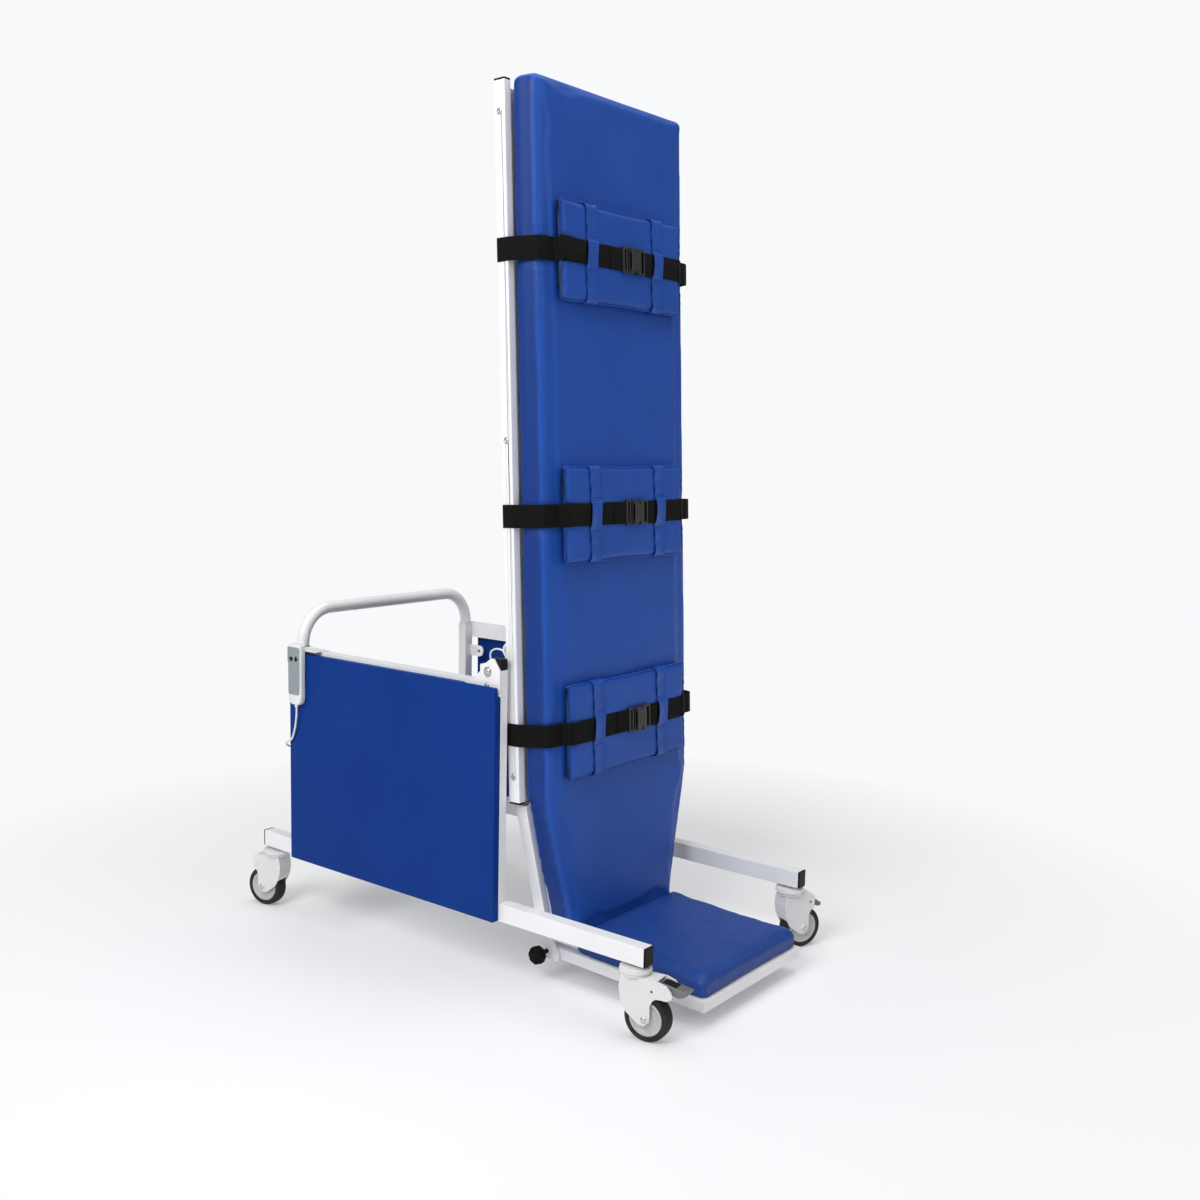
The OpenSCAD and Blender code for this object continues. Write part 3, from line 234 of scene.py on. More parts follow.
def plate(name, outline, x0, x1, place, round_mm):
    """An outline in the Y-Z plane drawn out along X, with rounded edges."""
    n = len(outline)
    verts = [(x, y, z) for x in (x0, x1) for y, z in outline]
    faces = [tuple(range(n)), tuple(range(2 * n - 1, n - 1, -1))]
    faces += [(j, (j + 1) % n, n + (j + 1) % n, n + j) for j in range(n)]
    return bake(bevel(mesh_object(name, verts, faces, place), round_mm * MM))


def shaped_box(name, lo, hi, place, round_mm):
    """A box between two corners with rounded edges."""
    outline = [(lo[1], lo[2]), (hi[1], lo[2]), (hi[1], hi[2]), (lo[1], hi[2])]
    return plate(name, outline, lo[0], hi[0], place, round_mm)


def bake(obj):
    """Applies an object's modifiers to its mesh."""
    graph = bpy.context.evaluated_depsgraph_get()
    graph.update()
    mesh = bpy.data.meshes.new_from_object(obj.evaluated_get(graph))
    obj.modifiers.clear()
    obj.data = mesh
    return obj


def catmull(points, steps):
    """Smooth line through points, as the source smooths its cords."""
    p = [Vector(q) for q in points]
    out = []
    for i in range(len(p) - 1):
        a, b, c, d = p[max(i - 1, 0)], p[i], p[i + 1], p[min(i + 2, len(p) - 1)]
        for j in range(steps):
            t = j / steps
            square, cube = 2 * a - 5 * b + 4 * c - d, 3 * b - a - 3 * c + d
            out.append((2 * b + (c - a) * t + square * t * t + cube * t ** 3) / 2)
    return out + [p[-1]]


def around(centre, u, v, radius, sides):
    """A circle of points round a centre, in the plane of two unit vectors."""
    turns = [2 * math.pi * k / sides for k in range(sides)]
    return [centre + radius * (math.cos(t) * u + math.sin(t) * v) for t in turns]


def tube_rings(path, radius, sides):
    """Rings of a round tube along a path, with no twist."""
    rings = []
    side = Vector((0.9, 0.3, 0.1))
    for i, q in enumerate(path):
        t = (path[min(i + 1, len(path) - 1)] - path[max(i - 1, 0)]).normalized()
        side = (side - t * t.dot(side)).normalized()
        rings.append(around(q, side, t.cross(side), radius, sides))
    return rings


def corner_arc(a, b, c, radius, steps, share):
    """Points that round the corner b between a and c; the arc takes at most a share of each side."""
    u, v = (a - b).normalized(), (c - b).normalized()
    h = math.acos(max(-1, min(1, u.dot(v)))) / 2
    k = min(radius / math.tan(h), (a - b).length * share, (c - b).length * share)
    r = k * math.tan(h)
    o = b + (u + v).normalized() * r / math.sin(h)
    s, e = b + u * k - o, b + v * k - o
    return [o + (s * (1 - j / steps) + e * j / steps).normalized() * r for j in range(steps + 1)]


def rounded(points, radius, steps=5):
    """Closed outline in a plane with its corners rounded; radius may be one per corner."""
    p = [Vector(q) for q in points]
    radii = radius if isinstance(radius, list) else [radius] * len(p)
    out = []
    for a, b, c, r in zip(p[-1:] + p, p, p[1:] + p[:1], radii):
        out += corner_arc(a, b, c, r, steps, 0.49)
    return out


def resampled(outline, spacing):
    """The same closed outline with evenly spaced points."""
    ends = outline[1:] + outline[:1]
    lengths = [(b - a).length for a, b in zip(outline, ends)]
    total = sum(lengths)
    count = int(round(total / spacing))
    out, i, done = [], 0, 0.0
    for k in range(count):
        want = total * k / count
        while done + lengths[i] < want:
            done += lengths[i]
            i += 1
        out.append(outline[i].lerp(ends[i], (want - done) / lengths[i] if lengths[i] else 0))
    return out


def inwards(outline, d):
    """Outline moved inwards by d, for outlines that run counter-clockwise."""
    out = []
    for a, b, c in zip(outline[-1:] + outline, outline, outline[1:] + outline[:1]):
        t = (c - a).normalized()
        out.append(b + Vector((-t.y, t.x)) * d)
    return out


# Materials


def new_node(tree, kind, inputs, **settings):
    """A new shader node; inputs gives a value, or another node's output, for each input by name or number."""
    node = tree.nodes.new("ShaderNode" + kind)
    for key, value in settings.items():
        setattr(node, key, value)
    for key, value in inputs.items():
        if isinstance(value, bpy.types.NodeSocket):
            tree.links.new(value, node.inputs[key])
        else:
            node.inputs[key].default_value = value
    return node


class Shader:
    """A material with a Principled shader and what feeds it."""

    def __init__(self, name, color, roughness, **sockets):
        self.material = bpy.data.materials.new(name)
        self.material.use_nodes = True
        self.tree = self.material.node_tree
        self.bsdf = self.tree.nodes["Principled BSDF"]
        self.bsdf.inputs["Base Color"].default_value = (*color, 1)
        self.bsdf.inputs["Roughness"].default_value = roughness
        for key, value in sockets.items():
            self.bsdf.inputs[key.replace("_", " ")].default_value = value
        self.coordinates = self.node("TexCoord", {})

    def node(self, kind, inputs, **settings):
        return new_node(self.tree, kind, inputs, **settings)

    def feed(self, source, name):
        self.tree.links.new(source, self.bsdf.inputs[name])

    def place(self):
        return self.coordinates.outputs["Object"]

    def split(self, vector):
        return self.node("SeparateXYZ", {0: vector}).outputs

    def noise(self, scale, detail):
        inputs = {"Vector": self.place(), "Scale": scale, "Detail": detail}
        return self.node("TexNoise", inputs).outputs["Fac"]

    def ramp(self, source, low, high, out_low=0.0, out_high=1.0):
        inputs = {"Value": source, "From Min": low, "From Max": high, "To Min": out_low, "To Max": out_high}
        return self.node("MapRange", inputs).outputs["Result"]

    def math(self, operation, a, b=0.0):
        return self.node("Math", {0: a, 1: b}, operation=operation).outputs[0]

    def colors(self, factor, a, b):
        """Base colour between a and b, which may be a node's output."""
        mix = self.node("Mix", {0: factor, 6: a, 7: b}, data_type="RGBA").outputs[2]
        self.feed(mix, "Base Color")
        return mix

    def mottled(self, scale, detail, dark, light, low=0.3, high=0.7):
        """Base colour between dark and light by noise, whose range low to high is spread."""
        return self.colors(self.ramp(self.noise(scale, detail), low, high), (*dark, 1), (*light, 1))

    def roughness(self, scale, detail, low, high):
        self.feed(self.ramp(self.noise(scale, detail), 0.25, 0.75, low, high), "Roughness")

    def bump(self, source, depth_mm, strength, after=None):
        inputs = {"Strength": strength, "Distance": depth_mm * MM, "Height": source}
        if after is not None:
            inputs["Normal"] = after
        normal = self.node("Bump", inputs).outputs["Normal"]
        self.feed(normal, "Normal")
        return normal

    def fine(self, scale, detail, depth_mm, strength):
        """A fine grain as bump."""
        self.bump(self.noise(scale, detail), depth_mm, strength)


def coat(name, color, rough, mottle, uneven, grain, **sockets):
    """A material with mottled colour, uneven roughness and a fine grain, each from noise of its own."""
    s = Shader(name, color, rough, **sockets)
    s.mottled(*mottle)
    if uneven:
        s.roughness(*uneven)
    s.fine(*grain)
    return s.material


def vinyl(name, dark, light, sides=None, turn=(0.8, 0.97)):
    """Upholstery vinyl; sides is a darker blue painted as shade on faces that look along X, and turn is
    how far a face has turned to X where that painted shade begins and where it is full."""
    s = Shader(name, light, 0.42, Specular_IOR_Level=0.22)
    color = s.mottled(7, 4, dark, light)
    # painted shade: faces that turn towards X are mixed into the darker sides blue
    if sides:
        across = s.math("ABSOLUTE", s.split(s.coordinates.outputs["Normal"])[0])
        s.colors(s.ramp(across, *turn), color, (*sides, 1))
    s.roughness(60, 4, 0.36, 0.50)
    cells = s.node("TexVoronoi", {"Vector": s.place(), "Scale": 520})
    grain = s.bump(cells.outputs["Distance"], 0.10, 0.35)
    s.bump(s.noise(55, 3), 0.4, 0.15, grain)
    return s.material


def plastic(name, color, rough, grain=0.2, spec=0.4, low=0.88):
    return coat(name, color, rough, (30, 4, [c * low for c in color], color), (90, 3, rough - 0.05, rough + 0.07),
                (1500, 2, 0.05, grain), Specular_IOR_Level=spec)


def metal(name, color, rough):
    return coat(name, color, rough, (120, 4, [c * 0.85 for c in color], color),
                (200, 4, rough - 0.06, rough + 0.10), (900, 3, 0.03, 0.2), Metallic=1.0)


YARN_MM, RIB_MM = 1.25, 1.7


def webbing():
    """Woven polyester: ribs across the band and warp yarns along it, on UVs in metres."""
    s = Shader("black_webbing", (0.009, 0.009, 0.0085), 0.8, Specular_IOR_Level=0.06,
               Sheen_Weight=0.03, Sheen_Roughness=0.5)
    along, across, up = s.split(s.coordinates.outputs["UV"])
    yarn = s.math("SINE", s.math("MULTIPLY", across, 2 * math.pi / (YARN_MM * MM)))
    rib = s.math("SINE", s.math("MULTIPLY", along, 2 * math.pi / (RIB_MM * MM)))
    weave = s.math("MULTIPLY", yarn, rib)
    s.colors(s.ramp(weave, -0.9, 0.9), (0.0030, 0.0030, 0.0028, 1), (0.0085, 0.0085, 0.0080, 1))
    s.roughness(150, 3, 0.62, 0.85)
    first = s.bump(s.ramp(weave, -1, 1), 0.35, 0.6)
    s.bump(s.ramp(yarn, -1, 1), 0.2, 0.35, first)
    return s.material


WHITE = coat("white_powder_coat", (0.83, 0.83, 0.845), 0.36, (6, 4, (0.80, 0.80, 0.815), (0.85, 0.85, 0.865)),
             (40, 3, 0.30, 0.42), (900, 2, 0.05, 0.25), Coat_Weight=0.15, Coat_Roughness=0.2)
PANEL = coat("panel_blue", (0.006, 0.034, 0.205), 0.48, (5, 4, (0.0045, 0.033, 0.200), (0.0055, 0.038, 0.222)),
             (25, 4, 0.38, 0.48), (1100, 2, 0.05, 0.3), Specular_IOR_Level=0.05)
# the mattress's vinyl, with painted shade in a deeper blue on its sides that face along X
VINYL = vinyl("blue_vinyl", (0.011, 0.067, 0.345), (0.014, 0.078, 0.39), sides=(0.0048, 0.034, 0.200))
# painted shade: the cushion's vinyl is a darker copy of the mattress's blue vinyl
SHADED_CUSHION_VINYL = vinyl("cushion_vinyl_shaded", (0.013, 0.050, 0.235), (0.017, 0.058, 0.265))
# the pads' vinyl, with a near-black painted shadow on their edges that face along X
PAD_VINYL = vinyl("pad_vinyl", (0.011, 0.068, 0.345), (0.015, 0.079, 0.395), sides=(0.001, 0.005, 0.025),
                  turn=(0.72, 0.93))
BLACK = plastic("black_plastic", (0.010, 0.010, 0.010), 0.45, spec=0.14)
BUCKLE_BLACK = plastic("buckle_black", (0.026, 0.026, 0.025), 0.4, spec=0.4)
KNOB_BLACK = plastic("knob_black", (0.006, 0.006, 0.006), 0.5, spec=0.06)
SHELL = plastic("white_plastic", (0.80, 0.80, 0.80), 0.36, 0.1)
FORK = plastic("fork_white", (0.72, 0.72, 0.725), 0.38, 0.1, low=0.97)
GREY = plastic("grey_plastic", (0.20, 0.205, 0.21), 0.45)
PEDAL_GREY = plastic("pedal_grey", (0.16, 0.163, 0.165), 0.42)
FACE = plastic("handset_grey", (0.27, 0.31, 0.325), 0.5, 0.1)
HUB = plastic("hub_grey", (0.50, 0.50, 0.495), 0.4, 0.15)
ZINC = metal("zinc", (0.62, 0.62, 0.63), 0.32)
CAST = metal("dark_casting", (0.12, 0.12, 0.125), 0.45)
WEB = webbing()
THREAD = plastic("sewing_thread", (0.005, 0.026, 0.13), 0.7, 0.3, 0.1)
DARK_THREAD = plastic("dark_thread", (0.014, 0.014, 0.014), 0.7, 0.3, 0.1)
RUBBER = coat("tyre_rubber", (0.022, 0.021, 0.020), 0.62,
              (45, 5, (0.019, 0.018, 0.0175), (0.032, 0.031, 0.030), 0.35, 0.75), (80, 4, 0.52, 0.72),
              (1300, 3, 0.06, 0.4), Specular_IOR_Level=0.2)
BOARD_DARK = coat("dark_board", (0.02, 0.02, 0.02), 0.7, (18, 5, (0.014, 0.014, 0.015), (0.03, 0.029, 0.028)),
                  None, (260, 4, 0.15, 0.4))

SLOT_MATERIAL = {"white_steel": WHITE, "black_plastic": BLACK, "blue_panel": PANEL, "blue_vinyl": VINYL,
                 "zinc": ZINC, "aluminium": CAST, "white_plastic": SHELL, "grey_plastic": GREY,
                 "plywood": BOARD_DARK, "webbing": WEB, "tyre_rubber": RUBBER}
NODE_SLOT = {s["node"]: s["material_slot"] for s in frame["record"]["subparts"]}

# Cords

CORD_D, CORD_SIDES = 5, 16
LOOP_D, LOOP_SIDES = 4, 14
CORD_STEPS = 4
# the handset's cord runs down from it, round the panel's rear edge and to the control box
CORD_START = Vector((-355.8, 436.5, 547))
CORD_END = Vector((-214, 419, 227.3))
HANG = [(0, 0, 0), (0, 0, -16), (1, 3, -32), (3, 11, -58), (5, 25, -84)]
PAST_EDGE = [(-348, 484.5, 450), (-338, 496.5, 440), (-321, 495.5, 430), (-313, 482.5, 419), (-309, 462.5, 404)]
INSIDE = [(-86, 30, 140), (-72, 22, 96), (-52, 14, 50), (-36, 8, 18), (-23, 3, 4), (-11, 0, 0), (10, 0, 0)]
# the cable's loop over the pivot beam: Y, Z and then steps from there
LOOP_Y, LOOP_Z = -145.2, 710
LOOP = [(0, -20), (1, -2), (7, 12), (11, 22), (8, 33), (-3, 39), (-14, 40.5), (-26, 38), (-34, 29), (-36, 16),
        (-35, 0.3)]


def make_cord(name, node, path, diameter, sides):
    cord = loft(name, tube_rings(path, diameter / 2, sides))
    finish_piece(cord, "base", SHELL, "white_plastic", node)


def make_cords():
    points = [CORD_START + Vector(q) for q in HANG] + [Vector(q) for q in PAST_EDGE]
    points += [CORD_END + Vector(q) for q in INSIDE]
    path = [TO_METRES @ q for q in catmull(points, CORD_STEPS)]
    make_cord("cord_handset", "handset_cord", path, CORD_D * MM, CORD_SIDES)
    lo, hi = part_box("loop_cable")
    start = Vector(((lo.x + hi.x) / 2, LOOP_Y * MM + SHIFT.y, LOOP_Z * MM))
    path = catmull([start + mm(0, y, z) for y, z in LOOP], CORD_STEPS)
    make_cord("cable_loop", "loop_cable", path, LOOP_D * MM, LOOP_SIDES)


make_cords()

# Soft pieces

SOFT = []
CLOTH_FRAMES = 20
PLACES_UP = ("top", "middle", "low")
STRAPS_AT = (1186, 625, 150)
# the mattress: distances of its faces ahead of the board's back plane, half widths and ends along the board
BACK_F, FRONT_F = 32.6, 97.3
MATTRESS_HALF, MATTRESS_FOOT_HALF = 270, 191
MATTRESS_TOP, MATTRESS_TAPER, MATTRESS_FOOT = 1545, -10, -322
MATTRESS_T, MATTRESS_EDGE = 63.5, 17
MATTRESS_OVERHANG = 4


def arc_layers(thickness, back_r, front_r):
    """Inset and height of each ring of a pad's edge, from its back face to its front face."""
    turns = [math.pi / 12 * k for k in range(7)]
    layers = [(back_r * (1 - math.sin(t)), back_r * (1 - math.cos(t))) for t in turns]
    layers += [(0, back_r + (thickness - back_r - front_r) * k / 4) for k in (1, 2, 3)]
    return layers + [(front_r * (1 - math.cos(t)), thickness - front_r * (1 - math.sin(t))) for t in turns]


def padding(name, outline, layers, place, at, back, out, voxel, cap, side_cap, pressure, smooth=4):
    """A closed pad over an outline, remeshed evenly and put on the list for the cloth simulation.

    at(p, h) gives a point of the place's frame from the outline's point and the height over the pad's back,
    back(points) says which points its base holds, and out is the axis along which it may move by cap, while
    along the others it moves by side_cap at most.
    """
    rings = [[at(p, h) for p in (inwards(outline, d) if d else outline)] for d, h in layers]
    obj = loft(name, rings, place)
    m = obj.modifiers.new("remesh", "REMESH")
    m.mode = "VOXEL"
    m.voxel_size = voxel * MM
    bake(obj)
    obj.data.shade_smooth()
    SOFT.append({"obj": obj, "place": place, "back": back, "out": out, "cap": cap * MM,
                 "side": side_cap * MM, "pressure": pressure, "smooth": smooth})
    return obj


def points_of(mesh):
    co = np.empty(len(mesh.vertices) * 3)
    mesh.vertices.foreach_get("co", co)
    return co.reshape(-1, 3)


def put_points(mesh, co):
    mesh.vertices.foreach_set("co", co.ravel())
    mesh.update()


def local_points(obj, place):
    inverse = np.array(place.inverted())
    co = points_of(obj.data)
    return co @ inverse[:3, :3].T + inverse[:3, 3]


def set_local(obj, place, co):
    m = np.array(place)
    put_points(obj.data, co @ m[:3, :3].T + m[:3, 3])


def smooth_mesh(obj, rounds):
    m = obj.modifiers.new("smooth", "SMOOTH")
    m.factor = 0.5
    m.iterations = rounds
    bake(obj)


def held_points(s):
    """Numbers of the points of a soft piece that its base holds."""
    return [int(i) for i in np.nonzero(s["back"](local_points(s["obj"], s["place"])))[0]]


def inflate():
    """Blows the soft pieces up a little with Blender's cloth, each held at its back face."""
    for s in SOFT:
        obj = s["obj"]
        smooth_mesh(obj, s["smooth"])
        s["rest"] = points_of(obj.data)
        pins = obj.vertex_groups.new(name="pins")
        pins.add(held_points(s), 1.0, "REPLACE")
        cloth = obj.modifiers.new("cloth", "CLOTH")
        c = cloth.settings
        c.quality = 5
        c.mass = 0.3
        c.tension_stiffness = c.compression_stiffness = 18
        c.shear_stiffness = 6
        c.bending_stiffness = 1.2
        c.use_pressure = True
        c.uniform_pressure_force = s["pressure"]
        c.effector_weights.gravity = 0
        c.vertex_group_mass = "pins"
        cloth.collision_settings.use_collision = False
        cloth.point_cache.frame_start = 1
        cloth.point_cache.frame_end = CLOTH_FRAMES
    scene = bpy.context.scene
    for f in range(1, CLOTH_FRAMES + 1):
        scene.frame_set(f)
    graph = bpy.context.evaluated_depsgraph_get()
    for s in SOFT:
        s["blown"] = points_of(s["obj"].evaluated_get(graph).data)
    for s in SOFT:
        obj = s["obj"]
        obj.modifiers.clear()
        obj.vertex_groups.clear()
        m = np.array(s["place"].to_3x3().normalized())
        move = (s["blown"] - s["rest"]) @ m
        limit = np.full(3, s["side"])
        limit[s["out"]] = s["cap"]
        move = limit * np.tanh(move / limit)
        put_points(obj.data, s["rest"] + move @ m.T)
    scene.frame_set(1)
    for s in SOFT:
        m = s["obj"].modifiers.new("subdivision", "SUBSURF")
        m.levels = m.render_levels = 1
        bake(s["obj"])
        s["obj"].data.shade_smooth()


def rounded_off(x, top, soft):
    """Keeps x under top, bending over softly from soft below it."""
    over = x - (top - soft)
    return np.where(over > 0, top - soft + soft * np.tanh(over / soft), x)


def step(x, a, b):
    """Rises smoothly from 0 at a to 1 at b."""
    t = np.clip((x - a) / (b - a), 0, 1)
    return t * t * (3 - 2 * t)


def bell(x, middle, width):
    return np.exp(-((x - middle) / width) ** 2)


def make_mattress():
    half, foot = MATTRESS_HALF - 0.5, MATTRESS_FOOT_HALF - 0.5
    pts = [(-foot, MATTRESS_FOOT), (foot, MATTRESS_FOOT), (half, MATTRESS_TAPER), (half, MATTRESS_TOP),
           (-half, MATTRESS_TOP), (-half, MATTRESS_TAPER)]
    outline = resampled(rounded(pts, [10, 10, 50, 15, 15, 50], 8), 7)
    return padding("mattress_cover", outline, arc_layers(MATTRESS_T, 3, MATTRESS_EDGE), BOARD,
                   lambda p, h: (p.x, -(BACK_F + h), p.y), lambda co: co[:, 1] > -(BACK_F + 4), out=1,
                   voxel=9, cap=3.0, side_cap=0.8, pressure=4.0)


def shape_mattress(obj):
    """Presses the straps into the mattress and gives its cover its folds and its square foot end."""
    co = local_points(obj, BOARD)
    x, f, s = co[:, 0], -co[:, 1], co[:, 2]
    front = step(f, BACK_F + 18, BACK_F + 58)
    side = step(np.abs(x), 205, 268)
    # the foot end meets the footboard's cushion, so its front edge is hardly rounded
    low, deep = MATTRESS_EDGE - (s - MATTRESS_FOOT), MATTRESS_EDGE - (FRONT_F - f)
    edge = (low > 0) & (deep > 0)
    grow = np.hypot(low, deep) / np.maximum((np.abs(low) ** 6 + np.abs(deep) ** 6) ** (1 / 6), 1e-6)
    s -= np.where(edge, low * (grow - 1), 0)
    f += np.where(edge, deep * (grow - 1), 0)
    widen = step(np.abs(x), 240, 266) * (1 - step(f, BACK_F + 12, BACK_F + 42))
    x += np.sign(x) * 4.5 * widen * step(s, MATTRESS_TAPER, 30)
    for at in STRAPS_AT:
        near = np.abs(s - at)
        press = (1 - step(near, 22, 50)) * side * front
        f -= 2.6 * press
        x -= np.sign(x) * 1.4 * press
        beside = step(near, 24, 34) * (1 - step(near, 60, 95)) * side * front
        f += 0.5 * np.sin((near - 25) * 2 * math.pi / 19) * beside
    taper = bell(s, -12, 38) * step(np.abs(x), 225, 262)
    f -= 1.1 * taper * front * (0.6 + 0.4 * np.cos((s + 12) * 2 * math.pi / 22))
    f += front * 0.35 * (np.sin(x / 61 + s / 143) + np.sin(s / 97 - x / 83 + 1.3))
    foot_end = step(-s, 296, 316)
    f += front * 3.0 * foot_end
    s -= 6.0 * foot_end
    co[:, 0] = x
    co[:, 1] = -rounded_off(np.maximum(f, BACK_F), FRONT_F, 3.0)
    co[:, 2] = np.maximum(s, MATTRESS_FOOT - MATTRESS_OVERHANG)
    set_local(obj, BOARD, co)


PAD_W, PAD_H, PAD_T = 442, 212, 21
PAD_GAP = 0.3
PAD_SAG = 3
WELT_R, WELT_UNDER = 1.1, 4.2
LOOPS_AT = (-120, 120)


def pad_outline(inset, corner, spacing):
    """Outline of a strap pad, whose sides pull in between its corners."""
    hw, hh = PAD_W / 2 - inset, PAD_H / 2 - inset
    pts = [(-hw, -hh), (0, -hh + PAD_SAG), (hw, -hh), (hw - PAD_SAG, 0), (hw, hh), (0, hh - PAD_SAG), (-hw, hh),
           (-hw + PAD_SAG, 0)]
    return resampled(rounded(pts, [corner, 300, corner, 160] * 2, 6), spacing)


def make_welt(name, place, k):
    """A thin welt round a pad, under the edge of its front."""
    line = [Vector((q.x, -(PAD_T - WELT_UNDER + 0.5 * math.sin(i * 0.9 + k)), q.y))
            for i, q in enumerate(pad_outline(0.2, 4, 6))]
    rings = []
    for i, q in enumerate(line):
        t = (line[(i + 1) % len(line)] - line[i - 1]).normalized()
        a = t.cross(Vector((0, 1, 0.02))).normalized()
        rings.append(around(q, a, t.cross(a), WELT_R, 8))
    finish_piece(closed_loft(name, rings, place), "board", PAD_VINYL, "blue_vinyl")


def pad_place(at):
    return BOARD @ Matrix.Translation((0, -(FRONT_F + PAD_GAP), at))


def make_pads():
    outline = pad_outline(0.5, 3, 4)
    return [padding("strap_pad_" + name, outline, arc_layers(PAD_T - 1.2, 3, 5.5), pad_place(at),
                    lambda p, h: (p.x, -h, p.y), lambda co: co[:, 1] > -1.5, out=1,
                    voxel=4, cap=1.8, side_cap=1.2, pressure=3.0, smooth=2)
            for name, at in zip(PLACES_UP, STRAPS_AT)]


def shape_pad(obj, place, k):
    """Presses the strap into a pad and puckers its edges; k varies them from pad to pad."""
    co = local_points(obj, place)
    x, h, z = co[:, 0], -co[:, 1], co[:, 2]
    hw, hh = PAD_W / 2, PAD_H / 2
    front = step(h, 8, 15)
    edge = np.minimum(hw - PAD_SAG * (1 - (z / hh) ** 2) - np.abs(x),
                      hh - PAD_SAG * (1 - (x / hw) ** 2) - np.abs(z))
    h -= front * 1.1 * bell(edge, 7, 1.8)
    h -= front * 1.5 * (1 - step(np.abs(z), 22, 40)) * (0.35 + 0.65 * step(np.abs(x), 150, 220))
    pinch = bell(edge, 2, 7) * front
    along = np.where(hw - np.abs(x) < hh - np.abs(z), z, x)
    h += 0.45 * pinch * np.sin(along * 2 * math.pi / 16 + k * 1.7) * np.sin(along / 37 + k)
    low = (1 - step(h, 3, 9)) * (1 - step(edge, 1, 8))
    z += np.sign(z) * 0.8 * low * np.sin(x * 2 * math.pi / 21 + k * 2.1) * (np.abs(z) > 80)
    h += front * 0.4 * np.sin(x / 47 + k) * np.sin(z / 39 + k * 0.7)
    # the underside of the near and lower edges stands off the mattress
    h += 4.5 * (1 - step(h, 4, 14)) * (step(-x, 196, 217) + 0.6 * step(-z, 88, 102)) * (1 - step(h, 12, 18))
    co[:, 1] = -rounded_off(np.maximum(h, 0), PAD_T, 1.5)
    co[:, 2] = z
    set_local(obj, place, co)


# the cushion in the footboard's frame: its base's height, thickness, half width, front, middle and rear
FOOT_UP, CUSHION_T = 12.8, 45
CUSHION_HALF, CUSHION_FRONT, CUSHION_MID, CUSHION_REAR = 193, -416, -247, -74
CUSHION_REACH = 181.9


def make_foot_cushion():
    half, front, rear = CUSHION_HALF, CUSHION_FRONT, CUSHION_REAR
    pts = [(-half, front), (0, front + 2), (half, front), (half - 2, CUSHION_MID), (half, rear), (-half, rear),
           (-half + 2, CUSHION_MID)]
    outline = resampled(rounded(pts, [11, 300, 11, 250, 8, 8, 250], 6), 6)
    return padding("footboard_cushion", outline, arc_layers(CUSHION_T - 3, 4, 9), FOOT,
                   lambda p, h: (p.x, p.y, FOOT_UP + h), lambda co: co[:, 2] < FOOT_UP + 2, out=2,
                   voxel=6, cap=4.5, side_cap=2.6, pressure=4.0)


def shape_foot_cushion(obj):
    """Fits the cushion's rear edge to the mattress and shapes its corners, seam and puckers."""
    co = local_points(obj, FOOT)
    x, y, h = co[:, 0], co[:, 1] - CUSHION_MID, co[:, 2] - FOOT_UP
    top = step(h, 20, 36)
    edge = np.minimum(CUSHION_HALF - np.abs(x), 170 + np.minimum(y, 60 - y))
    back = step(y, 140, 168)
    h += back * top * 5.0 * (1 - step(np.abs(x), 150, 188))
    # the rear edge reaches just into the mattress's front face along its whole width
    xs = np.linspace(-176, 176, 17)
    reach = [y[(np.abs(x - c) < 14) & (h > 25)].max() for c in xs]
    y += back * (CUSHION_REACH - np.interp(x, xs, reach)) * (0.4 + 0.6 * step(h, 5, 30))
    h -= top * (1 - back) * 1.2 * bell(edge, 8, 2.6)
    corner = bell(np.abs(x), 186, 15) * bell(y, -163, 15)
    h -= 5.5 * corner * top
    pull = 0.9 * bell(h, 33, 2.0) * (1 - step(edge, 3, 10))
    x -= np.sign(x) * pull
    y -= np.sign(y) * pull
    near = bell(edge, 5, 8) * top
    along = np.where(CUSHION_HALF - np.abs(x) < 170 - np.abs(y), y, x)
    h += 0.55 * near * np.sin(along * 2 * math.pi / 24 + 0.8) * np.cos(along / 51)
    co[:, 0], co[:, 1], co[:, 2] = x, y + CUSHION_MID, FOOT_UP + np.clip(h, 0, CUSHION_T + 6)
    set_local(obj, FOOT, co)


mattress = make_mattress()
pads = make_pads()
cushion = make_foot_cushion()
inflate()
shape_mattress(mattress)
for k, (pad, at) in enumerate(zip(pads, STRAPS_AT)):
    shape_pad(pad, pad_place(at), k)
    finish_piece(pad, "board", PAD_VINYL, "blue_vinyl", "strap_pads")
    make_welt(pad.name + "_welt", pad_place(at), k)
shape_foot_cushion(cushion)
finish_piece(mattress, "board", VINYL, "blue_vinyl", "mattress")
finish_piece(cushion, "footboard", SHADED_CUSHION_VINYL, "blue_vinyl", "foot_cushion")
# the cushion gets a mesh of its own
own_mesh(cushion)

# Straps, belt loops, stitching and buckles


def fillet(points, radius, steps=5):
    """Open line with its inner corners rounded."""
    p = [Vector(q) for q in points]
    out = [p[0]]
    for a, b, c in zip(p, p[1:], p[2:]):
        straight = (a - b).angle(c - b) > math.pi - 0.02
        out += [b] if straight else corner_arc(a, b, c, radius, steps, 0.48)
    return out + [p[-1]]


def spaced(line, spacing):
    """Open line with extra points no further apart than the spacing."""
    out = []
    for a, b in zip(line, line[1:]):
        n = max(1, int(math.ceil((b - a).length / spacing)))
        out += [a.lerp(b, k / n) for k in range(n)]
    return out + [line[-1]]


def normal_at(line, i):
    t = (line[min(i + 1, len(line) - 1)] - line[max(i - 1, 0)]).normalized()
    return Vector((-t.y, t.x))


# section of a band, in shares of its width and thickness
HALF_BAND = [(-0.5, 0.30), (-0.475, 0.5), (0, 0.5), (0.475, 0.5), (0.5, 0.30)]
BAND = HALF_BAND + [(u, -v) for u, v in reversed(HALF_BAND)]


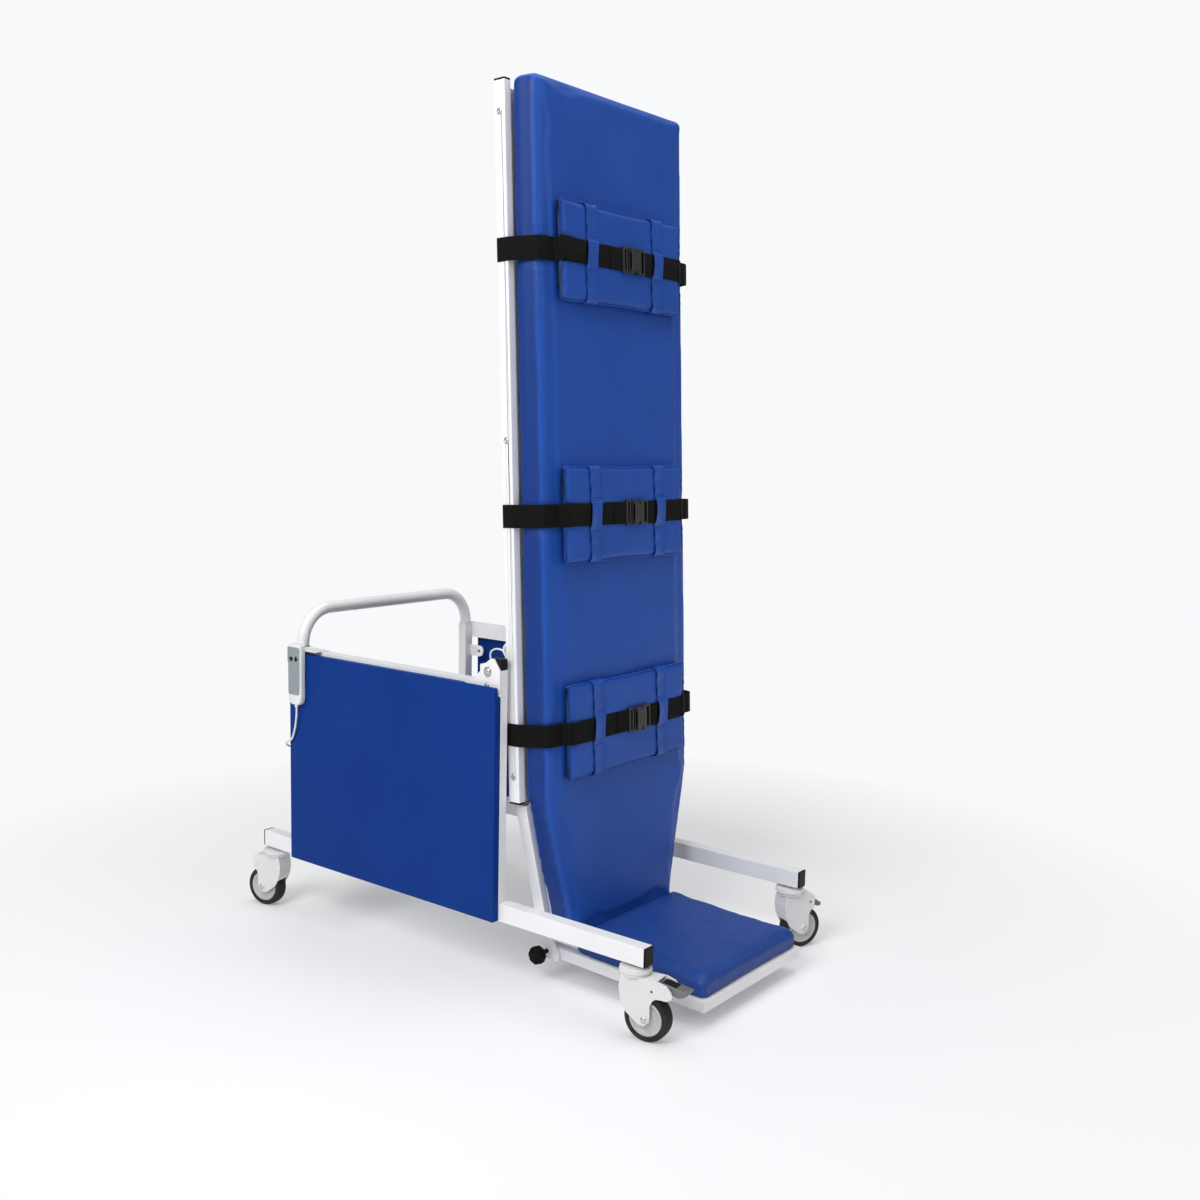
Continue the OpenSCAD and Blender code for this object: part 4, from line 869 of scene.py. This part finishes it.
def web(line, width, thickness, at, tilt=0.0):
    """A flat band along a line of (x, distance ahead of the board's back plane), standing across the board."""
    total, rings, uvs = 0.0, [], []
    for i, q in enumerate(line):
        n = normal_at(line, i)
        if i:
            total += (q - line[i - 1]).length
        z = at + tilt * (q.x - line[0].x)
        rings.append([(q.x + n.x * v * thickness, -(q.y + n.y * v * thickness), z + u * width) for u, v in BAND])
        uvs += [(total * MM, u * width * MM) for u, v in BAND]
    return loft("band", rings, BOARD, uvs)


def dashes(xs, zs, f, along_x=0.0, along_z=0.0):
    """Stitches that start at every x and z, at f ahead."""
    return [((x, f, z), (x + along_x, f, z + along_z)) for z in zs for x in xs]


def sewn(name, stitches, place, radius):
    """Short thread stitches between pairs of (x, distance ahead, height)."""
    verts, faces = [], []
    ahead = Vector((0, -1, 0))
    for a, b in stitches:
        a, b = Vector((a[0], -a[1], a[2])), Vector((b[0], -b[1], b[2]))
        start = len(verts)
        for k, share in ((0.0, 0.35), (0.2, 1.0), (0.8, 1.0), (1.0, 0.35)):
            verts += around(a.lerp(b, k), ahead, (b - a).normalized().cross(ahead), radius * share, 4)
        faces += ring_faces(4, 4, start)
        faces += [(start + 3, start + 2, start + 1, start), tuple(start + 12 + j for j in range(4))]
    return mesh_object(name, verts, faces, place)


# half of a strap's line round the board, in x and distance ahead of the board's back plane
STRAP_F = 119.7
STRAP_LINE = [(270.8, 14), (270.8, -1.2), (293.2, -1.2), (293.2, 29.2), (272.7, 76.5), (266.8, 93.5),
              (251.2, 98.5), (226.2, 98.5), (219.4, 112.3), (208.2, STRAP_F)]
# the bands over a strap: line, bend, spacing, width, thickness, then rise and tilt, each with what it gains
# from one strap to the next
OVER = STRAP_F + 1.75
STRAP_END = [(-224, OVER - 6.5), (-214, OVER + 1.6), (-196, OVER + 1.2), (-142, OVER)]
STRAP_HEM = [(-58, OVER), (-12, OVER + 0.6)]
STRAP_TAIL = [(60, OVER + 0.6), (76, OVER + 0.3), (98, OVER)]
STRAP_SIDE = [(205, OVER), (222, 115.5), (229, 101.6), (256, 102.4), (273.5, 97), (279.5, 84), (289, 60)]
BANDS = [(STRAP_END, 8, 4, 49.5, 2.2, (3.4, -1.2), (-0.045, 0.012)),
         (STRAP_HEM, 8, 6, 49.0, 1.5, (-0.4, 0), (0.006, 0)),
         (STRAP_TAIL, 12, 4, 46.0, 1.5, (-3.0, 0), (-0.09, 0.02)),
         (STRAP_SIDE, 7, 4, 48.8, 1.5, (0.6, 0), (-0.012, 0))]
# boxes sewn through the bands: start, end and distance ahead
SEAMS = [(-190, -148, OVER + 2.2), (-52, -20, OVER + 1.1)]
PITCH, STITCH = 4.2, 2.6


def make_straps():
    left = [(-x, f) for x, f in STRAP_LINE]
    main = spaced(fillet(left + STRAP_LINE[::-1], 5), 6)
    for k, (name, at) in enumerate(zip(PLACES_UP, STRAPS_AT)):
        parts = [web(main, 49.6, 1.6, at)]
        for line, bend, spacing, width, thickness, (rise, higher), (tilt, steeper) in BANDS:
            line = spaced(fillet(line, bend), spacing)
            parts.append(web(line, width, thickness, at + rise + higher * k, tilt + steeper * k))
        finish_piece(join("strap_" + name, parts), "board", WEB, "webbing", "straps")
        stitches = []
        for x0, x1, f in SEAMS:
            stitches += dashes(np.arange(x0, x1, PITCH), (at - 19, at + 19), f, along_x=STITCH)
            stitches += dashes((x0, x1), at + np.arange(-19, 18, PITCH), f, along_z=STITCH)
        finish_piece(sewn("strap_%s_stitches" % name, stitches, BOARD, 0.35), "board", DARK_THREAD, "webbing")


# a belt loop: its section across the strap, and half of its line from the strap's middle to the pad's edge
LOOP_EDGE = [(-20, -0.5), (-20, 0.35), (-19, 0.5), (-17.2, 0.55), (-16, 0.3)]
LOOP_SECTION = LOOP_EDGE + [(0, 0.35)] + [(-u, v) for u, v in reversed(LOOP_EDGE)]
LOOP_LINE = [(25.2, 24.9), (27.4, 22.6), (45, 22.1), (98, 22.0), (104.6, 18.5), (106.2, 11), (105, 4)]
LOOP_T, SEWN_F = 1.6, 22.9


def belt_loop(line, c, place):
    """The belt loop at x = c; it sways a little and bulges between its seams."""
    rings = []
    for i, q in enumerate(line):
        n = normal_at(line, i) * LOOP_T
        far = abs(q.x)
        sway = 2.6 * math.sin(q.x / 22 + c) * max(0, 1 - (far / 98) ** 2)
        lift = 0
        if q.y > 20:
            lift = 4.6 * max(0, 1 - (far / 34) ** 2)
            lift += 2.4 * math.sin((far - 36) / 35 * math.pi) ** 2 * (36 < far < 106)
        rings.append([(c + u + sway, -(q.y + n.y * v + lift * (1 - u / 20) / 2), q.x + n.x * v)
                      for u, v in LOOP_SECTION])
    return loft("loop", rings, place)


def make_belt_loops():
    line = spaced(fillet([(-z, h) for z, h in reversed(LOOP_LINE)] + LOOP_LINE, 3), 4)
    up_the_sides = [*np.arange(-96, -30, PITCH), *np.arange(31, 94, PITCH)]
    for name, at in zip(PLACES_UP, STRAPS_AT):
        place = pad_place(at)
        stitches = []
        for c in LOOPS_AT:
            stitches += dashes(c + np.arange(-18, 15, 3.8), (-36, 36), SEWN_F, along_x=3.4)
            stitches += dashes((c - 16.6, c + 16.6), up_the_sides, SEWN_F, along_z=STITCH)
        loops = join("belt_loops_" + name, [belt_loop(line, c, place) for c in LOOPS_AT])
        finish_piece(loops, "board", PAD_VINYL, "blue_vinyl", "strap_pads")
        finish_piece(sewn("belt_loop_stitches_" + name, stitches, place, 0.45), "board", THREAD, "blue_vinyl")


# boxes of a ladder buckle: X, distance ahead and Z of two corners
BUCKLE_PARTS = [((-40, 0, 23), (-15, 5, 28)), ((-40, 0, -28), (-15, 5, -23)), ((-40, 0, -28), (-35, 5.6, 28)),
                ((-29, 0, -28), (-25, 6.4, 28)), ((-19, 0, -28), (-14, 6, 28)), ((-16, 0, -19), (16, 11.5, 19)),
                ((-16, 0, -27.5), (-7, 11, 27.5)), ((7, 0, -27.5), (16, 11, 27.5)), ((-8, 2, 18), (8, 9, 25)),
                ((-8, 2, -25), (8, 9, -18)), ((15, 0, 23), (40, 5.5, 28)), ((15, 0, -28), (40, 5.5, -23)),
                ((22, 0, -28), (26, 6.2, 28)), ((35.5, 0, -28), (40, 5.6, 28))]
BUCKLE_RIDGES = [((x, 11, -14), (x + 1.6, 12, 14)) for x in (-9, -5, 3.4, 7.4)]
BUCKLE_X, BUCKLE_UP = 25, 1.1


def make_buckles():
    scale = Matrix.Scale(MM, 4)
    parts = [shaped_box("bar", (a[0], -b[1], a[2]), (b[0], -a[1], b[2]), scale, round_mm)
             for boxes, round_mm in ((BUCKLE_PARTS, 0.9), (BUCKLE_RIDGES, 0.4)) for a, b in boxes]
    first = join("buckle_top", parts)
    metres = BOARD @ Matrix.Scale(1 / MM, 4)
    for name, at in zip(PLACES_UP, STRAPS_AT):
        obj = first if name == "top" else link(bpy.data.objects.new("buckle_" + name, first.data))
        obj.matrix_world = metres @ Matrix.Translation(mm(BUCKLE_X, -(STRAP_F + BUCKLE_UP), at))
        finish_piece(obj, "board", BUCKLE_BLACK, "black_plastic", "buckles")


make_straps()
make_belt_loops()
make_buckles()

# Casters

CASTERS = ("nf", "ff", "nr", "fr")
TRAIL, WHEEL_R = 32, 50
# radius and distance from the wheel's middle, near half
TYRE = [(34, -14), (40, -14.6), (44, -15.4), (46.5, -15.2), (48.3, -13.6), (49.2, -12), (49.5, -10.8),
        (48.7, -10.2), (48.7, -9.2), (49.7, -8.6), (49.9, -6.2), (49.9, -4.2), (49.0, -3.6), (49.0, -2.6),
        (49.9, -2.0), (50, -1.2)]
HUB_DISC = [(5.5, -17.2), (9.5, -17.2), (10.4, -16.6), (10.6, -15.4), (13, -13.4), (15, -12.6), (20, -12.9),
            (20.6, -12.5), (21.4, -12.5), (22, -12.9), (25, -13.3), (25.6, -12.7), (26.6, -12.7), (27.2, -13.3),
            (30.6, -13.9), (31.4, -15.2), (33.4, -15.7), (35.6, -15.7), (36.8, -14.9), (37.3, -13.5), (37.2, -8)]
# radius and distance under the fork's top
COLLAR = [(30, 8.6), (33.9, 8.2), (34.4, 7.4), (34.4, 6.2), (33.8, 5.4), (30, 5.0)]
RIVET = [(4.956, 0), (4.956, 0.55), (4.2, 0.66), (3.864, 1.364), (2.94, 1.892), (1.596, 2.134), (0.2, 2.2)]
# distance ahead of the stem and height
PEDAL = [(38, 118), (42, 124.5), (52, 129), (62, 132), (72, 132.5), (94, 128.5), (125, 124), (123.5, 118),
         (115, 112.5), (104, 109), (90, 112.5), (75, 117.5), (58, 117.5), (41, 112)]
INLAY = [(66, 133.2), (72, 133.6), (93, 129.9), (98, 128.9), (98, 127.0), (66, 130.4)]
TAB = [(40, 107), (42, 116), (52, 119.5), (62, 117.5), (76, 109), (86, 104), (86, 97), (79, 95), (66, 99),
       (52, 106)]
# outline, half width and ridges of each pedal
PEDALS = {"nf": (PEDAL, 15, [(100, 127.6), (106, 126.7), (112, 125.9), (118, 125.0)]),
          "ff": (TAB, 11, [(66, 115.3), (71, 112.1), (76, 109.0)])}


def two_faced(profile):
    """A profile given for the near half, mirrored to the far half."""
    return profile + [(r, -h) for r, h in reversed(profile)]


def hexagon(t):
    """Radius of a hexagon at an angle, in shares of its corners' radius."""
    return math.cos(math.pi / 6) / math.cos(t % (math.pi / 3) - math.pi / 6)


def bolt_head(place, radius, height, socket, washer=0.0):
    """A bolt's round head with a hexagon recess, on a washer where it has one, along +X from its place."""
    parts, base = [], 0.0
    if washer:
        base = 1.1
        rim = [(washer, 0), (washer, 0.8), (washer - 0.4, base), (radius * 0.9, base)]
        parts.append(loft("washer", turned(rim, 40), place))
    floor = height * 0.3
    profile = [(radius * 0.98, 0), (radius, 0.4), (radius * 0.97, height * 0.45), (radius * 0.84, height * 0.8),
               (radius * 0.66, height), (socket, height), (socket * 0.96, height - 0.3), (socket * 0.96, floor),
               (0.15, floor)]
    head = turned([(r, h + base) for r, h in profile], 48, share=lambda i, t: hexagon(t) if i in (5, 6, 7) else 1)
    return join("bolt", parts + [loft("head", head, place)])


def facing(place, at, sign):
    """A place's frame moved to a point, its X axis kept or turned round."""
    turn = Matrix.Identity(4) if sign > 0 else Matrix.Rotation(math.pi, 4, "Z")
    return place @ Matrix.Translation(at) @ turn


def make_brake(key, place):
    outline, half, ridges = PEDALS[key]
    parts = [plate("arm", [(-u, z) for u, z in outline], -half, half, place, 1.8)]
    parts += [shaped_box("ridge", (3 - half, -u - 1.1, z - 1), (half - 3, -u + 1.1, z + 0.9), place, 0.5)
              for u, z in ridges]
    lever = join("pedal_%s_lever" % key, parts)
    finish_piece(lever, "brake_" + key, PEDAL_GREY, "grey_plastic", "pedal_" + key)
    if key == "nf":
        inlay = plate("pedal_nf_inlay", [(-u, z) for u, z in INLAY], -11, 11, place, 0.5)
        finish_piece(inlay, "brake_nf", BLACK, "black_plastic")


def make_casters():
    for key in CASTERS:
        place = caster_place(key)
        wheel = place @ Matrix.Translation((0, -TRAIL, WHEEL_R))
        tyre = closed_loft("tyre_%s_ribbed" % key, turned(two_faced(TYRE), 96), wheel)
        finish_piece(tyre, "wheel_" + key, RUBBER, "tyre_rubber", "tyre_" + key)
        hub = loft("hub_%s_disc" % key, turned(two_faced(HUB_DISC), 72), wheel)
        finish_piece(hub, "wheel_" + key, HUB, "grey_plastic", "hub_" + key)
        if key in PEDALS:
            make_brake(key, place)
        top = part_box("fork_" + key)[1].z / MM
        collar = turned([(r, top - d) for r, d in COLLAR], 72, axis="Z")
        finish_piece(loft("collar_%s_ring" % key, collar, place), "swivel_" + key, FORK, "white_plastic")
        rivet_at = (-78, 120) if key == "nf" else (-44, 124)
        heads = []
        for sign in (-1, 1):
            heads.append(bolt_head(facing(place, (sign * 22.2, -TRAIL, WHEEL_R), sign), 7.6, 3.4, 3.6))
            heads.append(loft("rivet", turned(RIVET, 24), facing(place, (sign * 15.2, *rivet_at), sign)))
        finish_piece(join("fork_%s_bolts" % key, heads), "swivel_" + key, ZINC, "zinc")


make_casters()

# Handset

HANDSET_X, HANDSET_Y = (-363.8, -347.8), 436.5
HANDSET_TOP, HANDSET_H, HANDSET_W = 703, 150, 48
# outlines in shares of the handset's width and height
CASE_SHARES = [(0.5, 0), (0.5, -0.30), (0.485, -0.55), (0.5, -0.86), (0.44, -0.96), (0.22, -1)]
CASE_SHARES += [(-u, v) for u, v in reversed(CASE_SHARES)]
CASE_CORNERS = [5, 40, 40, 12, 12, 10, 10, 12, 12, 40, 40, 5]
FACE_SHARES = [(-0.42, -0.83), (0.42, -0.83), (0.44, -0.05), (-0.44, -0.05)]
ARROW = [(-0.36, -1), (0.36, -1), (0.36, -0.05), (1, -0.05), (0, 1), (-1, -0.05), (-0.36, -0.05)]
ARROW_SCALE = 1.15
# radius and height over the cord's start
GLAND = [(2.6, 0.2), (4.0, 0.2), (4.4, 1), (4.4, 2.4), (3.9, 2.9), (3.9, 3.8), (4.7, 4.3), (4.7, 5.6), (4.1, 6.1),
         (4.1, 7), (5.0, 7.5), (5.0, 9.5)]


def handset_part(name, shares, corners, spacing, layers):
    """A skin over an outline, drawn in and set at X as the layers say."""
    line = [(u * HANDSET_W, HANDSET_TOP + v * HANDSET_H) for u, v in shares]
    line = resampled(rounded(line, corners), spacing)
    if sum(a.x * b.y - b.x * a.y for a, b in zip(line, line[1:] + line[:1])) < 0:
        line.reverse()
    return loft(name, [[(x, HANDSET_Y + p.x, p.y) for p in inwards(line, d)] for d, x in layers], TO_METRES)


def make_handset():
    x0, x1 = HANDSET_X
    layers = [(0.3, x1 - 0.2), (0, x1 - 1.0), (0, x0 + 6)]
    layers += [(5 * (1 - math.cos(t)), x0 + 6 - 5.6 * math.sin(t)) for t in (0.3, 0.6, 0.9, 1.2, 1.5)]
    shell = handset_part("handset_case", CASE_SHARES, CASE_CORNERS, 2.5, layers)
    finish_piece(shell, "base", SHELL, "white_plastic", "handset_shell")
    layers = [(0, x0 + 1.2), (0, x0 - 0.1), (0.4, x0 - 0.4), (2, x0 - 0.42)]
    face = handset_part("handset_front", FACE_SHARES, [6, 6, 5, 5], 2, layers)
    finish_piece(face, "base", FACE, "grey_plastic", "handset_face")
    place = TO_METRES @ Matrix.Translation(CORD_START)
    gland = loft("handset_cord_gland", turned(GLAND, 24, axis="Z"), place)
    finish_piece(gland, "base", SHELL, "white_plastic")


def make_buttons():
    for name, side in (("up", 1), ("down", -1)):
        lo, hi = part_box("handset_button_" + name)
        middle, size = (lo + hi) / 2, (hi - lo) * ARROW_SCALE / 2 / MM
        line = rounded([(u * size.y, side * v * size.z) for u, v in ARROW[::side]], 0.5, 3)
        place = Matrix.Translation((lo.x, middle.y, middle.z)) @ Matrix.Scale(MM, 4)
        rings = [[(x, *p) for p in inwards(line, d)] for d, x in ((0, 2.6), (0, 0.5), (0.35, 0.05), (0.8, 0))]
        button = loft("button_%s_arrow" % name, rings, place)
        finish_piece(button, "button_" + name, BLACK, "black_plastic", "handset_button_" + name)


make_handset()
make_buttons()

# Bolts, knobs and plugs

RAIL_BOLTS = [(292.0, -15, s) for s in (56.7, 786.4, 1468.6)]
# place, then radius, height, recess and washer of the head
GUSSET_BOLTS = [((331.0, -173.5, 708), (9.0, 3.4, 4.6, 11.2)), ((331.0, -171.5, 678), (5.4, 2.4, 2.6, 6.8))]
# radius, distance from the hinge side and depth of the lobes
KNOB = [(5, -30, 0), (5, 0, 0), (12.5, 0, 0), (13.5, 1.5, 0), (18.6, 2.6, 0.03), (20.4, 4, 0.06), (21, 7, 0.08),
        (21.2, 11, 0.085), (21, 15.5, 0.08), (20.2, 18.6, 0.075), (18.4, 20.6, 0.06), (15.4, 21.5, 0.03),
        (12.4, 21.7, 0), (11.6, 21.9, 0), (11.3, 21.2, 0), (10.9, 21.2, 0), (10.6, 21.9, 0), (6, 22, 0),
        (0.3, 22, 0)]
KNOB_LOBES, KNOB_SIDES, KNOB_H = 8, 160, 22
# half of the footboard's front tube's end, and the ends of its plate along X
PLUG_HALF, PLUG_Y, PLUG_X = 12.1, -407.5, (196.6, 198.7)


def mirrored(at, sign):
    return sign * at[0], at[1], at[2]


def make_bolts():
    """Round heads with hexagon recesses over the CAD's plain heads."""
    heads = [bolt_head(facing(BOARD, mirrored(at, sign), sign), 7.2, 2.6, 3.3)
             for sign in (-1, 1) for at in RAIL_BOLTS]
    finish_piece(join("side_rail_bolt_heads", heads), "board", ZINC, "zinc", "side_rail_bolts")
    heads = [bolt_head(facing(TO_METRES, mirrored(at, sign), sign), *head)
             for sign in (-1, 1) for at, head in GUSSET_BOLTS]
    finish_piece(join("gusset_bolt_heads", heads), "base", ZINC, "zinc", "gusset_bolts")


def lobed(i, t):
    return 1 - KNOB[i][2] * (0.5 - 0.5 * math.cos(KNOB_LOBES * t)) ** 0.7


def make_knobs():
    for name, sign in (("near", -1), ("far", 1)):
        lo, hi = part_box("knob_" + name)
        pivot = Vector(JOINTS["knob_%s_turn" % name]["pos_m"])
        inner = max(abs(lo.x - SHIFT.x), abs(hi.x - SHIFT.x)) - KNOB_H * MM
        at = (SHIFT.x + sign * inner, pivot.y, pivot.z)
        place = facing(Matrix.Identity(4), at, sign) @ Matrix.Scale(MM, 4)
        rings = turned([(r, h) for r, h, depth in KNOB], KNOB_SIDES, share=lobed)
        grip = loft("knob_%s_grip" % name, rings, place)
        finish_piece(grip, "knob_%s_body" % name, KNOB_BLACK, "black_plastic", "knob_" + name)


def make_tube_plugs():
    """Welded plates that close the ends of the footboard's front tube."""
    plugs = []
    for sign in (-1, 1):
        x0, x1 = sorted(sign * x for x in PLUG_X)
        plugs.append(shaped_box("plug", (x0, PLUG_Y - PLUG_HALF, -PLUG_HALF), (x1, PLUG_Y + PLUG_HALF, PLUG_HALF),
                                FOOT, 0.9))
    finish_piece(join("foot_frame_plugs", plugs), "footboard", WHITE, "white_steel")


make_bolts()
make_knobs()
make_tube_plugs()

# Carried-over CAD nodes

SOFT_NODES = ("mattress", "strap_pads", "foot_cushion", "straps", "handset_cord", "loop_cable")
KIND_MATERIAL = {"hub": HUB, "fork": FORK}
# rounds of edges in millimetres
FORK_ROUND, USUAL_ROUND = 0.8, 1.2
ROUND = {"handset_holder": 0.6, "rail_end_caps": 2.5, "post_caps": 3.0, "side_rail_caps": 2.0, "side_rails": 2.0,
         "side_panel_near": 3.0, "side_panel_far": 3.0, "control_box": 3.0}


def dress_cad_nodes():
    """Every CAD node gets its material, and the edges of the rigid ones a small round."""
    for name, obj in NODES.items():
        kind = name.split("_")[0]
        paint(obj, KIND_MATERIAL.get(kind, SLOT_MATERIAL[NODE_SLOT[name]]))
        if name not in SOFT_NODES:
            obj.modifiers.new("weld", "WELD").merge_threshold = WELD_DISTANCE
            bevel(obj, (FORK_ROUND if kind == "fork" else ROUND.get(name, USUAL_ROUND)) * MM)


dress_cad_nodes()

# Floor, backdrop and light

BACKGROUND = (0.939, 0.947, 0.965, 1)
WORLD_COLOR = (0.28, 0.2786, 0.2772, 1)
FLOOR_HALF = 30


def make_floor():
    """A floor that fades into the background away from the part, as the camera sees it."""
    s = Shader("floor", (0.905, 0.91, 0.92), 0.55, Specular_IOR_Level=0.25)
    glow = s.node("Emission", {"Color": BACKGROUND})
    distance = s.node("VectorMath", {0: s.place()}, operation="LENGTH")
    fade = s.ramp(distance.outputs["Value"], 1.0, 1.9, 0.25, 1.0)
    path = s.node("LightPath", {}).outputs
    seen = s.math("MAXIMUM", path["Is Camera Ray"], path["Is Glossy Ray"])
    mix = s.node("MixShader", {0: s.math("MULTIPLY", fade, seen), 1: s.bsdf.outputs[0], 2: glow.outputs[0]})
    s.tree.links.new(mix.outputs[0], s.tree.nodes["Material Output"].inputs["Surface"])
    corners = [(x * FLOOR_HALF, y * FLOOR_HALF, 0) for x, y in ((-1, -1), (1, -1), (1, 1), (-1, 1))]
    floor = mesh_object("floor", corners, [(0, 1, 2, 3)])
    paint(floor, s.material)


def make_world():
    """An even light, behind which the camera sees the background's colour."""
    world = bpy.data.worlds.new("world")
    bpy.context.scene.world = world
    world.use_nodes = True
    tree = world.node_tree
    path = new_node(tree, "LightPath", {}).outputs
    rays = {0: path["Is Camera Ray"], 1: path["Is Transmission Ray"]}
    seen = new_node(tree, "Math", rays, operation="MAXIMUM").outputs[0]
    mix = new_node(tree, "Mix", {0: seen, 6: WORLD_COLOR, 7: BACKGROUND}, data_type="RGBA")
    back = tree.nodes["Background"].inputs
    tree.links.new(mix.outputs[2], back["Color"])
    back["Strength"].default_value = 1


def lamp(name, at, target, size, power):
    """A square area lamp that looks at its target."""
    data = bpy.data.lights.new(name, "AREA")
    data.shape = "RECTANGLE"
    data.size = data.size_y = size
    data.energy = power
    obj = link(bpy.data.objects.new(name, data))
    obj.location = at
    obj.rotation_mode = "QUATERNION"
    obj.rotation_quaternion = (Vector(at) - Vector(target)).to_track_quat("Z", "Y")


make_floor()
make_world()
lamp("key", (-4.1, -0.4, 3.6), (0, 0, 1.2), 2.6, 174)
lamp("top", (0.2, -0.4, 4.6), (0, 0, 0), 4.0, 100)
lamp("front", (0.6, -4.4, 3.2), (0, 0, 1.5), 2.5, 29)
bpy.context.scene.view_settings.view_transform = "Standard"
